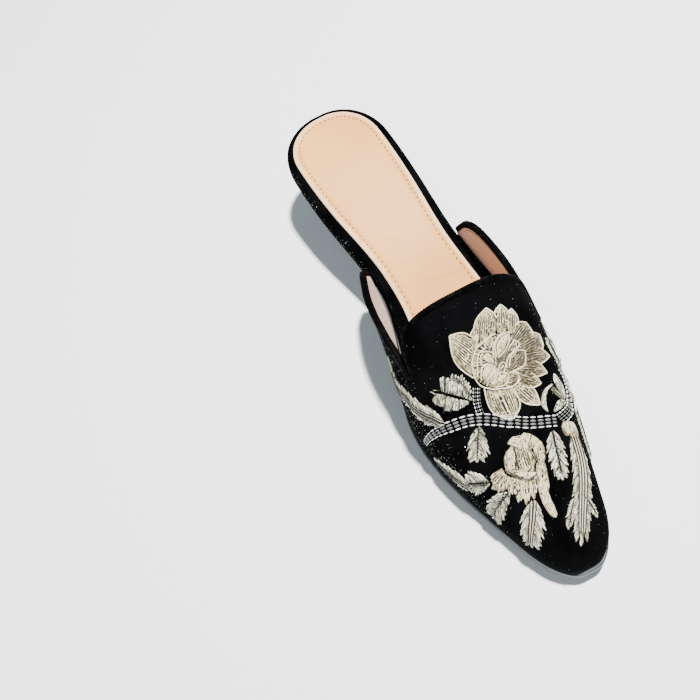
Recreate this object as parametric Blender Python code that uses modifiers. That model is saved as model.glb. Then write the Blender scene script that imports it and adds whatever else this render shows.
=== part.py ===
"""Kitten heel mule, left shoe: a square-toed velvet mule on a small block heel.

The shoe stands on the floor plane z = 0. +Y runs from heel to toe, +X is the
wearer's medial (big toe) side and +Z is up. Sizes below are in millimetres,
along the shoe from the back of the heel seat; world() turns them into metres
with the origin under the middle of the shoe.
"""

import math
from collections import namedtuple
from functools import lru_cache

import bmesh
import bpy
from mathutils import Vector

MM = 0.001
GAP = 0.3

# The last: one row per section, read by a smooth curve through the rows.
# along: distance from the heel back; medial, lateral: half widths at the footbed's edge;
# footbed: height of its top; tread: height of the sole's underside;
# sole: thickness of the outsole; instep: height of the upper's section above the footbed.
Section = namedtuple("Section", "along medial lateral footbed tread sole instep")
LAST = (
    Section(0, 27.0, 24.0, 47.0, 36.5, 1.8, 95.0),
    Section(30, 26.5, 27.0, 43.0, 32.5, 1.8, 87.0),
    Section(60, 23.0, 28.5, 36.5, 26.0, 1.8, 81.5),
    Section(90, 17.9, 30.0, 27.5, 17.5, 1.8, 78.0),
    Section(120, 20.6, 36.0, 14.5, 6.5, 2.2, 71.0),
    Section(150, 31.2, 37.5, 6.5, 0.0, 3.0, 56.5),
    Section(180, 32.0, 32.0, 6.5, 0.0, 3.0, 37.5),
    Section(205, 26.0, 25.0, 7.5, 1.2, 3.0, 24.5),
    Section(228, 18.5, 18.0, 9.3, 3.0, 3.0, 16.0),
    Section(250, 11.0, 11.0, 11.6, 5.6, 3.0, 9.5),
)
LENGTH = 250.0

# How the two ends of the plan are rounded: over what reach, and how squarely.
EndRound = namedtuple("EndRound", "reach power")
HEEL_END = EndRound(26.0, 2.2)
TOE_END = EndRound(19.5, 2.7)
TOE_DOME_POWER = 3.0

# Exponents of the upper's section: higher is squarer.
SECTION_ACROSS = 3.3
SECTION_UP = 2.7

# How far each side wall leans out over its foot, and how low down it does most of that.
Lean = namedtuple("Lean", "along medial lateral")
LEAN = (
    Lean(84, 0.0, 0.0),
    Lean(92, 6.5, 2.2),
    Lean(100, 9.5, 2.8),
    Lean(110, 10.8, 1.8),
    Lean(120, 9.4, 0.4),
    Lean(132, 6.0, -0.9),
    Lean(146, 2.0, -1.7),
    Lean(160, 0.0, -1.2),
    Lean(176, 0.0, 0.0),
)
LEAN_POWER = 3.0

UPPER_WALL = 2.0
UPPER_SWELL = 1.8
SWELL_START, SWELL_END = 78.0, 94.0
UPPER_TUCK = 0.8

# The topline: how high each side wall stands above the footbed along the shoe.
Topline = namedtuple("Topline", "along rise")
MEDIAL_COLLAR = (
    Topline(88.5, 2.6),
    Topline(93, 13.5),
    Topline(100, 20.5),
    Topline(112, 29.0),
    Topline(130, 38.5),
    Topline(145, 41.5),
    Topline(155, 40.5),
)
LATERAL_COLLAR = (
    Topline(88.5, 2.6),
    Topline(93, 12.0),
    Topline(100, 18.5),
    Topline(112, 23.5),
    Topline(130, 28.5),
    Topline(145, 29.5),
    Topline(153, 29.0),
)
TONGUE_TOP = 141.0
MEDIAL_TONGUE_CORNER = 12.0
LATERAL_TONGUE_CORNER = 16.0
COLLAR_STEPS = 12
COLLAR_SPREAD = 1.6
TONGUE_STEPS = 24
NOTCH_ROUNDING = 1.2

BINDING_WIDTH = 2.8
BINDING_PROUD = 0.6
BINDING_THICK = 3.2
BINDING_ROUND = 0.9
BINDING_GAP = 0.55

UPPER_ROWS = 22
UPPER_START = 91.0

BAND_END = UPPER_START - GAP
# How far each plate's edges are rounded, under and over.
EdgeRound = namedtuple("EdgeRound", "low high")
BAND_EDGE = EdgeRound(1.0, 2.0)
BOARD_EDGE = EdgeRound(0.4, 0.8)
SOCK_EDGE = EdgeRound(0.2, 0.8)
OUTSOLE_EDGE = EdgeRound(0.7, 0.7)
BOARD_CLEARANCE = UPPER_WALL + 1.2
BOARD_TOE_EXTRA = 0.6
BAND_STEP = 0.2

# The most of a plate's half width and thickness that its rounding takes,
# and where the middle of a round lies between its ends.
PLATE_ROUND_ACROSS = 0.6
PLATE_ROUND_UP = 0.45
ROUND_MIDDLE = 0.3

SOCK_THICK = 1.3
# How far the sock stays inside the footbed's edge on each side.
SockEdge = namedtuple("SockEdge", "along medial lateral")
SOCK = (
    SockEdge(0, 3.5, 4.1),
    SockEdge(60, 4.6, 4.4),
    SockEdge(95, 6.0, 5.3),
    SockEdge(118, 8.2, 6.0),
    SockEdge(145, 9.6, 6.2),
    SockEdge(250, 5.0, 5.0),
)
SOCK_TOE = 241.0

SOLE_BACK = 46.0
# How far the outsole's edge stands out from the footbed's plan.
SoleEdge = namedtuple("SoleEdge", "along out")
SOLE_EDGE = (SoleEdge(0, -2.0), SoleEdge(95, -1.2), SoleEdge(145, 2.2), SoleEdge(250, 2.2))

HEEL_CUP_INSET = 3.5
HEEL_CUP_DEPTH = 9.0
HEEL_CUP_LIP = 0.6
HEEL_CUP_SHRINK = 10.0
HEEL_CUP_POINTS = 40
HEEL_CUP_RINGS = 6
HEEL_WIDTH, HEEL_DEPTH = 16.5, 10.0
HEEL_BACK = 12.0
HEEL_CORNER = 1.0
TOP_PIECE_THICK = 3.0

SHARP_FROM = math.radians(35)

VELVET = (0.010, 0.010, 0.012)
BINDING_BLACK = (0.006, 0.006, 0.007)
SOCK_PINK = (0.78, 0.62, 0.50)
SOLE_CHARCOAL = (0.030, 0.032, 0.034)
HEEL_BLACK = (0.008, 0.008, 0.009)


def span_of(rows, at):
    """The pair of rows around a distance along the shoe, and how far between them it is."""
    xs = [row.along for row in rows]
    at = min(max(at, xs[0]), xs[-1])
    i = max(k for k in range(len(xs) - 1) if xs[k] <= at)
    return i, xs[i + 1] - xs[i], (at - xs[i]) / (xs[i + 1] - xs[i])


def monotone(rows, column, at):
    """Reads a table's column on a monotone cubic, which never swings past its rows."""
    ys = [getattr(row, column) for row in rows]
    steps = [b.along - a.along for a, b in zip(rows, rows[1:])]
    slopes = [(b - a) / step for a, b, step in zip(ys, ys[1:], steps)]
    tangents = [slopes[0]]
    for before, after, left, right in zip(slopes, slopes[1:], steps, steps[1:]):
        if before * after <= 0:
            tangents.append(0.0)
        else:
            tangents.append((left + right) / (
                (left + 2 * right) / (3 * before) + (2 * left + right) / (3 * after)))
    tangents.append(slopes[-1])
    i, step, t = span_of(rows, at)
    return (
        (1 + 2 * t) * (1 - t) ** 2 * ys[i]
        + t * (1 - t) ** 2 * step * tangents[i]
        + t * t * (3 - 2 * t) * ys[i + 1]
        - t * t * (1 - t) * step * tangents[i + 1]
    )


@lru_cache(maxsize=None)
def bends(rows, column):
    """Second derivatives of the natural cubic spline through a table's column."""
    ys = [getattr(row, column) for row in rows]
    steps = [b.along - a.along for a, b in zip(rows, rows[1:])]
    count = len(rows)
    upper_share, load = [0.0] * count, [0.0] * count
    for i in range(1, count - 1):
        pull = 6 * ((ys[i + 1] - ys[i]) / steps[i] - (ys[i] - ys[i - 1]) / steps[i - 1])
        pivot = 2 * (steps[i - 1] + steps[i]) - steps[i - 1] * upper_share[i - 1]
        upper_share[i] = steps[i] / pivot
        load[i] = (pull - steps[i - 1] * load[i - 1]) / pivot
    bend = [0.0] * count
    for i in range(count - 2, 0, -1):
        bend[i] = load[i] - upper_share[i] * bend[i + 1]
    return bend


def fair(rows, column, at):
    """Reads a table's column on a natural cubic spline, for lines that must look fair."""
    bend = bends(rows, column)
    i, step, t = span_of(rows, at)
    low, high = getattr(rows[i], column), getattr(rows[i + 1], column)
    return (
        (1 - t) * low + t * high
        + step * step / 6 * (((1 - t) ** 3 - (1 - t)) * bend[i] + (t ** 3 - t) * bend[i + 1])
    )


def last(column, along):
    """One of the last's own sizes at a distance along the shoe."""
    read = monotone if column in ("tread", "sole") else fair
    return read(LAST, column, along)


def smooth_step(value):
    """Eases from 0 to 1 as value goes from 0 to 1."""
    t = min(max(value, 0.0), 1.0)
    return t * t * (3 - 2 * t)


def round_end(distance, end, grown):
    """The share of the full width at this distance from an end of the plan."""
    share = min(max(distance / (end.reach + grown), 0.0), 1.0)
    return (1 - (1 - share) ** end.power) ** (1 / end.power)


def plan(along, medial_out=0.0, lateral_out=0.0, ends_out=None):
    """The plan's two edges (medial, lateral) as x, grown outwards by the given amounts."""
    if ends_out is None:
        ends_out = (medial_out + lateral_out) / 2
    heel = round_end(along + ends_out, HEEL_END, ends_out)
    toe = round_end(LENGTH + ends_out - along, TOE_END, ends_out)
    return (
        (last("medial", along) + medial_out) * heel * toe,
        -(last("lateral", along) + lateral_out) * heel * toe,
    )


def swell(along):
    """How far the upper stands outside the footbed's plan."""
    return UPPER_SWELL * smooth_step((along - SWELL_START) / (SWELL_END - SWELL_START))


def lean(along, side):
    """How far a side wall leans out over its foot."""
    return monotone(LEAN, "medial" if side > 0 else "lateral", along)


def upper_frame(along):
    """Middle, half width and height of the upper's section."""
    toe = round_end(LENGTH - along, TOE_END, 0.0)
    out = swell(along)
    medial = last("medial", along) * toe + out + lean(along, +1)
    lateral = last("lateral", along) * toe + out + lean(along, -1)
    dome = (1 - (1 - min((LENGTH - along) / TOE_END.reach, 1.0)) ** TOE_DOME_POWER)
    height = last("instep", along) * dome ** (1 / TOE_DOME_POWER)
    return (medial - lateral) / 2, (medial + lateral) / 2, height


def under(along, side, up):
    """How far a side wall is drawn in at a share of its height, to meet its foot."""
    return lean(along, side) * (1 - min(up, 1.0)) ** LEAN_POWER


def upper_point(along, turn):
    """A point on the upper's outside; turn goes from 0, medial feather line, to pi."""
    middle, half, height = upper_frame(along)
    c, s = math.cos(turn), max(math.sin(turn), 0.0)
    up = s ** (2 / SECTION_UP)
    side = math.copysign(1.0, c)
    x = middle + side * (half * abs(c) ** (2 / SECTION_ACROSS) - under(along, side, up))
    return Vector((x, along, last("footbed", along) + height * up))


def turn_at(point):
    """The turn of the upper's section nearest to a point, from its direction."""
    middle, half, height = upper_frame(point.y)
    up = max(point.z - last("footbed", point.y), 0.0) / height
    side = math.copysign(1.0, point.x - middle)
    across = (abs(point.x - middle) + under(point.y, side, up)) / half
    c = side * min(across, 1.0) ** (SECTION_ACROSS / 2)
    return math.atan2(up ** (SECTION_UP / 2), c)


def upper_normal(along, turn):
    """Outward normal of the upper's outside."""
    step = 0.01
    low, high = max(turn - step, 1e-4), min(turn + step, math.pi - 1e-4)
    round_ = upper_point(along, high) - upper_point(along, low)
    forward = upper_point(along + 0.3, turn) - upper_point(along - 0.3, turn)
    return forward.cross(round_).normalized()


def collar_turn(row_along, rise, side):
    """The turn at which a side wall reaches this rise above the footbed."""
    height = upper_frame(row_along)[2]
    turn = math.asin(min(rise / height, 1.0) ** (SECTION_UP / 2))
    return turn if side > 0 else math.pi - turn


def collar_line(collar, side):
    """(along, turn) pairs up one side wall, from its back end to the notch."""
    first, end = collar[0].along, collar[-1].along
    pairs = []
    for i in range(COLLAR_STEPS + 1):
        along = first + (end - first) * (i / COLLAR_STEPS) ** COLLAR_SPREAD
        pairs.append((along, collar_turn(along, monotone(collar, "rise", along), side)))
    return pairs


def tongue_line(medial_notch, lateral_notch):
    """(along, turn) pairs over the tongue's top edge, from notch to notch."""
    pairs = []
    for i in range(1, TONGUE_STEPS):
        across = -math.cos(math.pi * i / TONGUE_STEPS)
        notch, power = (
            (medial_notch, MEDIAL_TONGUE_CORNER) if across < 0
            else (lateral_notch, LATERAL_TONGUE_CORNER)
        )
        share = abs(across)
        along = TONGUE_TOP + (notch[0] - TONGUE_TOP) * share ** power
        pairs.append((along, math.pi / 2 + (notch[1] - math.pi / 2) * share))
    return pairs


def topline():
    """Points round the whole topline on the upper's outside, with soft notches."""
    medial = collar_line(MEDIAL_COLLAR, +1)
    lateral = collar_line(LATERAL_COLLAR, -1)[::-1]
    pairs = medial + tongue_line(medial[-1], lateral[0]) + lateral
    points = [upper_point(*pair) for pair in pairs]
    for corner in (len(medial) - 1, len(pairs) - len(lateral)):
        here = points[corner]
        before = (points[corner - 1] - here).normalized() * NOTCH_ROUNDING
        after = (points[corner + 1] - here).normalized() * NOTCH_ROUNDING
        points[corner] = here + (before + after) / 4
    return points


def topline_frames():
    """For each topline point: the point, the way into the upper and the outward normal."""
    points = topline()
    frames = []
    for i, point in enumerate(points):
        before = points[max(i - 1, 0)]
        after = points[min(i + 1, len(points) - 1)]
        run = ((after - point).normalized() + (point - before).normalized()).normalized()
        normal = upper_normal(point.y, turn_at(point))
        frames.append((point, run.cross(normal).normalized(), normal))
    return frames


def sock_plan(along):
    """The sock's two edges at this distance along the shoe."""
    medial_in = monotone(SOCK, "medial", along)
    lateral_in = monotone(SOCK, "lateral", along)
    ends_in = (SOCK[0].medial + SOCK[0].lateral) / 2
    heel = round_end(along - ends_in, HEEL_END, -ends_in)
    toe = round_end(SOCK_TOE - along, TOE_END, -ends_in)
    return (
        (last("medial", along) - medial_in) * heel * toe,
        -(last("lateral", along) - lateral_in) * heel * toe,
    )


def sole_plan(along):
    """The outsole's two edges at this distance along the shoe."""
    out = monotone(SOLE_EDGE, "out", along)
    return plan(along, out, out, SOLE_EDGE[-1].out)


def stations(first, end, count, ease_first=True, ease_end=True):
    """Distances from first to end, closer together at the ends that are eased."""
    values = []
    for i in range(count + 1):
        t = i / count
        if ease_first and ease_end:
            t = (1 - math.cos(math.pi * t)) / 2
        elif ease_end:
            t = math.sin(math.pi * t / 2)
        elif ease_first:
            t = 1 - math.cos(math.pi * t / 2)
        values.append(first + (end - first) * t)
    return values


TIP = 0.12
SOLE_TIP = LENGTH + SOLE_EDGE[-1].out
SOLE_STATIONS = stations(SOLE_BACK, SOLE_TIP - TIP, 34, ease_first=False)
SOLE_SIDES = [sole_plan(along) for along in SOLE_STATIONS]
MIDDLE_X = (max(s[0] for s in SOLE_SIDES) + min(s[1] for s in SOLE_SIDES)) / 2
MIDDLE_Y = (TIP + SOLE_STATIONS[-1]) / 2


def world(x, along, up):
    """Shoe millimetres to world metres."""
    return Vector(((x - MIDDLE_X) * MM, (along - MIDDLE_Y) * MM, up * MM))


def finish_material(name, colour, roughness, metallic=0.0, coat=0.0):
    """A plain Principled material."""
    material = bpy.data.materials.new(name)
    material.use_nodes = True
    shader = material.node_tree.nodes["Principled BSDF"]
    shader.inputs["Base Color"].default_value = (*colour, 1)
    shader.inputs["Roughness"].default_value = roughness
    shader.inputs["Metallic"].default_value = metallic
    shader.inputs["Coat Weight"].default_value = coat
    return material


def add_piece(name, shape, material, collection):
    """Turns a bmesh into a named object with its material."""
    mesh = bpy.data.meshes.new(name)
    shape.to_mesh(mesh)
    shape.free()
    mesh.shade_smooth()
    mesh.set_sharp_from_angle(angle=SHARP_FROM)
    mesh.materials.append(material)
    piece = bpy.data.objects.new(name, mesh)
    collection.objects.link(piece)
    return piece


def loft(rings):
    """A closed body through rings of equal length, with both ends capped."""
    shape = bmesh.new()
    rows = [[shape.verts.new(world(*point)) for point in ring] for ring in rings]
    count = len(rows[0])
    for row, after in zip(rows, rows[1:]):
        for i in range(count):
            j = (i + 1) % count
            shape.faces.new((row[i], row[j], after[j], after[i]))
    shape.faces.new(rows[0][::-1])
    shape.faces.new(rows[-1])
    bmesh.ops.recalc_face_normals(shape, faces=shape.faces)
    return shape


def plate_ring(along, edges, low, high, rounding):
    """A flat section with bevelled corners, between two edges and two heights."""
    medial, lateral = edges
    half = (medial - lateral) / 2
    low_in = min(rounding.low, half * PLATE_ROUND_ACROSS)
    high_in = min(rounding.high, half * PLATE_ROUND_ACROSS)
    drop = min(rounding.low, (high - low) * PLATE_ROUND_UP)
    rise = min(rounding.high, (high - low) * PLATE_ROUND_UP)
    middle = (medial + lateral) / 2
    return [
        (medial - low_in, along, low),
        (medial, along, low + drop),
        (medial, along, high - rise),
        (medial - high_in * ROUND_MIDDLE, along, high - rise * ROUND_MIDDLE),
        (medial - high_in, along, high),
        (middle, along, high),
        (lateral + high_in, along, high),
        (lateral + high_in * ROUND_MIDDLE, along, high - rise * ROUND_MIDDLE),
        (lateral, along, high - rise),
        (lateral, along, low + drop),
        (lateral + low_in, along, low),
        (middle, along, low),
    ]


def outsole():
    """The thin sole from the heel breast to the toe, flat under the ball."""
    rings = []
    for along in SOLE_STATIONS:
        low = last("tread", along)
        high = low + last("sole", along)
        rings.append(plate_ring(along, sole_plan(along), low, high, OUTSOLE_EDGE))
    return loft(rings)


def board_base(along):
    """Height of the underside of the footbed."""
    return last("tread", along) + last("sole", along) + GAP


def footbed():
    """The board the foot stands on: full width at the back, inside the upper in front."""
    back = stations(TIP, BAND_END, 22, ease_end=False)
    toe_in = BOARD_CLEARANCE + BOARD_TOE_EXTRA
    front = stations(BAND_END + BAND_STEP, LENGTH - toe_in - TIP, 24, ease_first=False)
    rings = []
    for along in back:
        edges = plan(along)
        rings.append(plate_ring(
            along, edges, board_base(along), last("footbed", along), BAND_EDGE))
    for along in front:
        inside = swell(along) - BOARD_CLEARANCE
        edges = plan(along, inside, inside, -toe_in)
        rings.append(plate_ring(
            along, edges, board_base(along), last("footbed", along), BOARD_EDGE))
    return loft(rings)


def sock():
    """The padded sock sheet on the footbed, from the heel into the toe."""
    ends_in = (SOCK[0].medial + SOCK[0].lateral) / 2
    rings = []
    for along in stations(ends_in + TIP, SOCK_TOE - TIP, 38):
        low = last("footbed", along) + GAP
        rings.append(plate_ring(along, sock_plan(along), low, low + SOCK_THICK, SOCK_EDGE))
    return loft(rings)


def upper():
    """The velvet upper as an open skin; Solidify gives it its wall."""
    edge = []
    for point, inward, _ in topline_frames():
        inner = point + inward * (BINDING_WIDTH + BINDING_GAP)
        edge.append((inner.y, turn_at(inner)))
    shape = bmesh.new()
    rows = UPPER_ROWS
    columns = []
    end = LENGTH - TIP

    def column(start, place):
        distances = [start + (end - start) * math.sin(math.pi * i / rows / 2) for i in range(rows + 1)]
        return [shape.verts.new(world(*place(along))) for along in distances]

    def skirt(side):
        def place(along):
            middle, half, _ = upper_frame(along)
            tuck = min(UPPER_TUCK, half * 0.3) + under(along, side, 0.0)
            return middle + side * (half - tuck), along, board_base(along)
        return place

    columns.append(column(edge[0][0], skirt(+1)))
    columns.append(column(edge[0][0], lambda along: upper_point(along, 0.0)))
    for start, turn in edge:
        columns.append(column(start, lambda along, turn=turn: upper_point(along, turn)))
    columns.append(column(edge[-1][0], lambda along: upper_point(along, math.pi)))
    columns.append(column(edge[-1][0], skirt(-1)))
    for left, right in zip(columns, columns[1:]):
        for i in range(rows):
            shape.faces.new((left[i], left[i + 1], right[i + 1], right[i]))
    shape.faces.new([line[-1] for line in columns])
    bmesh.ops.recalc_face_normals(shape, faces=shape.faces)
    shape.normal_update()
    top = max(shape.faces, key=lambda face: face.calc_center_median().z)
    if top.normal.z < 0:
        bmesh.ops.reverse_faces(shape, faces=shape.faces)
    return shape


def topline_binding():
    """The folded binding round the whole topline, standing a little proud of the upper."""
    out, back = BINDING_PROUD, BINDING_PROUD - BINDING_THICK
    section = (
        (BINDING_WIDTH, out), (BINDING_ROUND, out), (0.0, out - BINDING_ROUND),
        (0.0, back + BINDING_ROUND), (BINDING_ROUND, back), (BINDING_WIDTH, back),
    )
    rings = []
    for point, inward, normal in topline_frames():
        rings.append([tuple(point + inward * along + normal * off) for along, off in section])
    return loft(rings)


def heel_cup():
    """The shallow cup under the heel seat, deepest at the back."""
    rings = []
    for ring in range(HEEL_CUP_RINGS + 1):
        drop = ring / HEEL_CUP_RINGS
        inset = HEEL_CUP_INSET + HEEL_CUP_SHRINK * (1 - math.sqrt(1 - drop * drop))
        front = SOLE_BACK - GAP - (inset - HEEL_CUP_INSET) * 0.3
        points = []
        for i in range(HEEL_CUP_POINTS):
            side = 1 if i < HEEL_CUP_POINTS / 2 else -1
            share = (i % (HEEL_CUP_POINTS // 2)) / (HEEL_CUP_POINTS // 2 - 1)
            t = share if side > 0 else 1 - share
            along = inset + TIP + (front - inset - TIP) * (1 - math.cos(math.pi * t / 2))
            edge = plan(along, -inset, -inset, -inset)[0 if side > 0 else 1]
            back_share = (SOLE_BACK - along) / (SOLE_BACK - HEEL_CUP_INSET)
            depth = HEEL_CUP_LIP + (HEEL_CUP_DEPTH - HEEL_CUP_LIP) * back_share
            points.append((edge, along, board_base(along) - GAP * 2 - depth * drop))
        rings.append(points)
    return loft(rings)


def block(width, depth, low, high, corner):
    """An upright block with rounded edges, centred under the heel."""
    shape = bmesh.new()
    bmesh.ops.create_cube(shape, size=1.0)
    for vert in shape.verts:
        x, y, z = vert.co.x * width, vert.co.y * depth, vert.co.z + 0.5
        vert.co = world(x, HEEL_BACK + HEEL_DEPTH / 2 + y, low + z * (high - low))
    bmesh.ops.bevel(
        shape, geom=shape.edges, offset=corner * MM, segments=2, profile=0.5,
        affect="EDGES", material=-1)
    return shape


def main():
    for thing in list(bpy.data.objects):
        bpy.data.objects.remove(thing)
    shoe = bpy.data.collections.new("kitten_heel_mule")
    cutters = bpy.data.collections.new("joined_shapes")
    for collection in (shoe, cutters):
        bpy.context.scene.collection.children.link(collection)

    velvet = finish_material("black_velvet", VELVET, 0.85)
    binding = finish_material("black_binding", BINDING_BLACK, 0.7)
    leather = finish_material("pink_sock_leather", SOCK_PINK, 0.5)
    rubber = finish_material("charcoal_sole", SOLE_CHARCOAL, 0.4)
    lacquer = finish_material("black_heel_lacquer", HEEL_BLACK, 0.12, coat=1.0)

    add_piece("outsole", outsole(), rubber, shoe)
    add_piece("footbed", footbed(), velvet, shoe)
    add_piece("sock", sock(), leather, shoe)

    skin = add_piece("upper", upper(), velvet, shoe)
    wall = skin.modifiers.new("wall", "SOLIDIFY")
    wall.thickness = UPPER_WALL * MM
    wall.offset = -1.0
    wall.use_even_offset = True

    add_piece("topline_binding", topline_binding(), binding, shoe)

    heel = add_piece("heel", heel_cup(), lacquer, shoe)
    column_top = board_base(HEEL_BACK + HEEL_DEPTH) - GAP * 2 - HEEL_CUP_DEPTH / 2
    column = add_piece(
        "heel_column",
        block(HEEL_WIDTH, HEEL_DEPTH, TOP_PIECE_THICK + GAP, column_top, HEEL_CORNER),
        lacquer, cutters)
    column.hide_render = True
    column.display_type = "WIRE"
    join = heel.modifiers.new("column", "BOOLEAN")
    join.operation = "UNION"
    join.solver = "EXACT"
    join.object = column

    add_piece(
        "top_piece",
        block(HEEL_WIDTH - 0.6, HEEL_DEPTH - 0.6, 0.0, TOP_PIECE_THICK, 0.5), rubber, shoe)


main()
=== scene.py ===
"""Looks of the kitten heel mule, a left shoe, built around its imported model.

Lengths are millimetres in a shoemaker's own directions: x across the shoe and positive towards
the big toe, along from the back of the heel to the toe, up from the floor. Last.world() turns
them into world metres.
"""

import logging
import math
from collections.abc import Callable, Sequence
from dataclasses import dataclass, field
from enum import Enum

import bmesh
import bpy
import numpy as np
from mathutils import Matrix, Vector


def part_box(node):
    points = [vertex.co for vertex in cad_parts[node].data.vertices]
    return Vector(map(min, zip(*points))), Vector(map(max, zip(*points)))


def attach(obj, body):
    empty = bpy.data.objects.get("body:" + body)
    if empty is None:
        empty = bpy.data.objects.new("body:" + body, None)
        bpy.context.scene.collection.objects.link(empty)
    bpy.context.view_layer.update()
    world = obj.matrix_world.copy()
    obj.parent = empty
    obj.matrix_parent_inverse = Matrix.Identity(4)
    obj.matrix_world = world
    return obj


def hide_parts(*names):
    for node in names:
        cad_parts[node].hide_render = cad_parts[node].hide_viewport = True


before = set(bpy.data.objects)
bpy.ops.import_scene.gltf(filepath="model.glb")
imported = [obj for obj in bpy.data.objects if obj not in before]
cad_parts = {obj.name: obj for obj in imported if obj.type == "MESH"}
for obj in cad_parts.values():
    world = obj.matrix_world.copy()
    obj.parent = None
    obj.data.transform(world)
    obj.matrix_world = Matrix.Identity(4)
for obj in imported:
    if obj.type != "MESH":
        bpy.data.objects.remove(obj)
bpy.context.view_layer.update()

LOG = logging.getLogger("mule")
MM = 0.001
TURN = 2 * math.pi
WELD = 0.004 * MM
Array = np.ndarray
Shape = bmesh.types.BMesh
Material = bpy.types.Material
Place = Callable[[Array, Array], Array]
Edges = tuple[Array, Array]
Colour = tuple[float, float, float]
EdgeLines = tuple[tuple[float, ...], ...]


# ---------------- lines and the last


@dataclass(frozen=True)
class Line:
    """A smooth line through knots: fair (natural cubic), or steady (never past its knots)."""

    knots: tuple[float, ...]
    values: tuple[float, ...]
    steady: bool = False

    def _slopes(self) -> Array:
        """Slopes of the line at its knots."""
        x, y = np.array(self.knots, float), np.array(self.values, float)
        step, rise = np.diff(x), np.diff(y) / np.diff(x)
        if self.steady:
            inner = np.zeros(len(x) - 2)
            same = rise[:-1] * rise[1:] > 0
            left, right = step[:-1][same], step[1:][same]
            before, after = rise[:-1][same], rise[1:][same]
            inner[same] = (left + right) / (
                (left + 2 * right) / (3 * before) + (2 * left + right) / (3 * after))
            return np.concatenate([rise[:1], inner, rise[-1:]])
        system, load = np.zeros((len(x), len(x))), np.zeros(len(x))
        system[0, :2], load[0] = (2, 1), 3 * rise[0]
        system[-1, -2:], load[-1] = (1, 2), 3 * rise[-1]
        for i in range(1, len(x) - 1):
            low, high = 1 / step[i - 1], 1 / step[i]
            system[i, i - 1:i + 2] = low, 2 * (low + high), high
            load[i] = 3 * (rise[i - 1] * low + rise[i] * high)
        return np.linalg.solve(system, load)

    def __call__(self, at: Array | float) -> Array:
        """Reads the line.

        Args:
            at: where along the knots to read.

        Returns:
            The line's value at each place.
        """
        x, y, slope = np.array(self.knots, float), np.array(self.values, float), self._slopes()
        at = np.clip(np.asarray(at, float), x[0], x[-1])
        i = np.clip(np.searchsorted(x, at, side="right") - 1, 0, len(x) - 2)
        step = x[i + 1] - x[i]
        t = (at - x[i]) / step
        return (
            (1 + 2 * t) * (1 - t) ** 2 * y[i] + t * (1 - t) ** 2 * step * slope[i]
            + t * t * (3 - 2 * t) * y[i + 1] - t * t * (1 - t) * step * slope[i + 1])


def smooth_step(value: Array) -> Array:
    """Eases from 0 to 1 as value goes from 0 to 1."""
    t = np.clip(value, 0, 1)
    return t * t * (3 - 2 * t)


def unit(vectors: Array) -> Array:
    """Rows scaled to length one."""
    return vectors / np.maximum(np.linalg.norm(vectors, axis=-1, keepdims=True), 1e-9)


def distances(path: Array) -> Array:
    """How far along a path each of its points lies."""
    return np.concatenate([[0], np.cumsum(np.linalg.norm(np.diff(path, axis=0), axis=1))])


def read_rows(at: Array, knots: Array, rows: Array) -> Array:
    """Rows of numbers that stand at knots, read at places between them."""
    return np.stack([np.interp(at, knots, column) for column in rows.T], axis=-1)


def even(path: Array, spacing: float) -> Array:
    """A path walked again in even steps.

    Args:
        path: its points, one row each.
        spacing: about how long a step is.

    Returns:
        The new points, one row each.
    """
    walked = distances(path)
    steps = max(int(round(walked[-1] / spacing)), 2)
    return read_rows(np.linspace(0, walked[-1], steps + 1), walked, path)


class Side(Enum):
    """The two sides of a shoe; the value is the sign of x there."""

    MEDIAL = 1
    LATERAL = -1


@dataclass(frozen=True)
class Section:
    """One section of the last: half widths at the footbed's edge, heights and the instep."""

    along: float
    medial: float
    lateral: float
    footbed: float
    tread: float
    sole: float
    instep: float


@dataclass(frozen=True)
class EndRound:
    """How an end of the plan is rounded: over what reach, and how squarely."""

    reach: float
    power: float

    def share(self, distance: Array, grown: float = 0.0) -> Array:
        """The share of the full width at a distance from the end of a plan, grown or not."""
        part = np.clip(distance / (self.reach + grown), 0, 1)
        return (1 - (1 - part) ** self.power) ** (1 / self.power)


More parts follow.
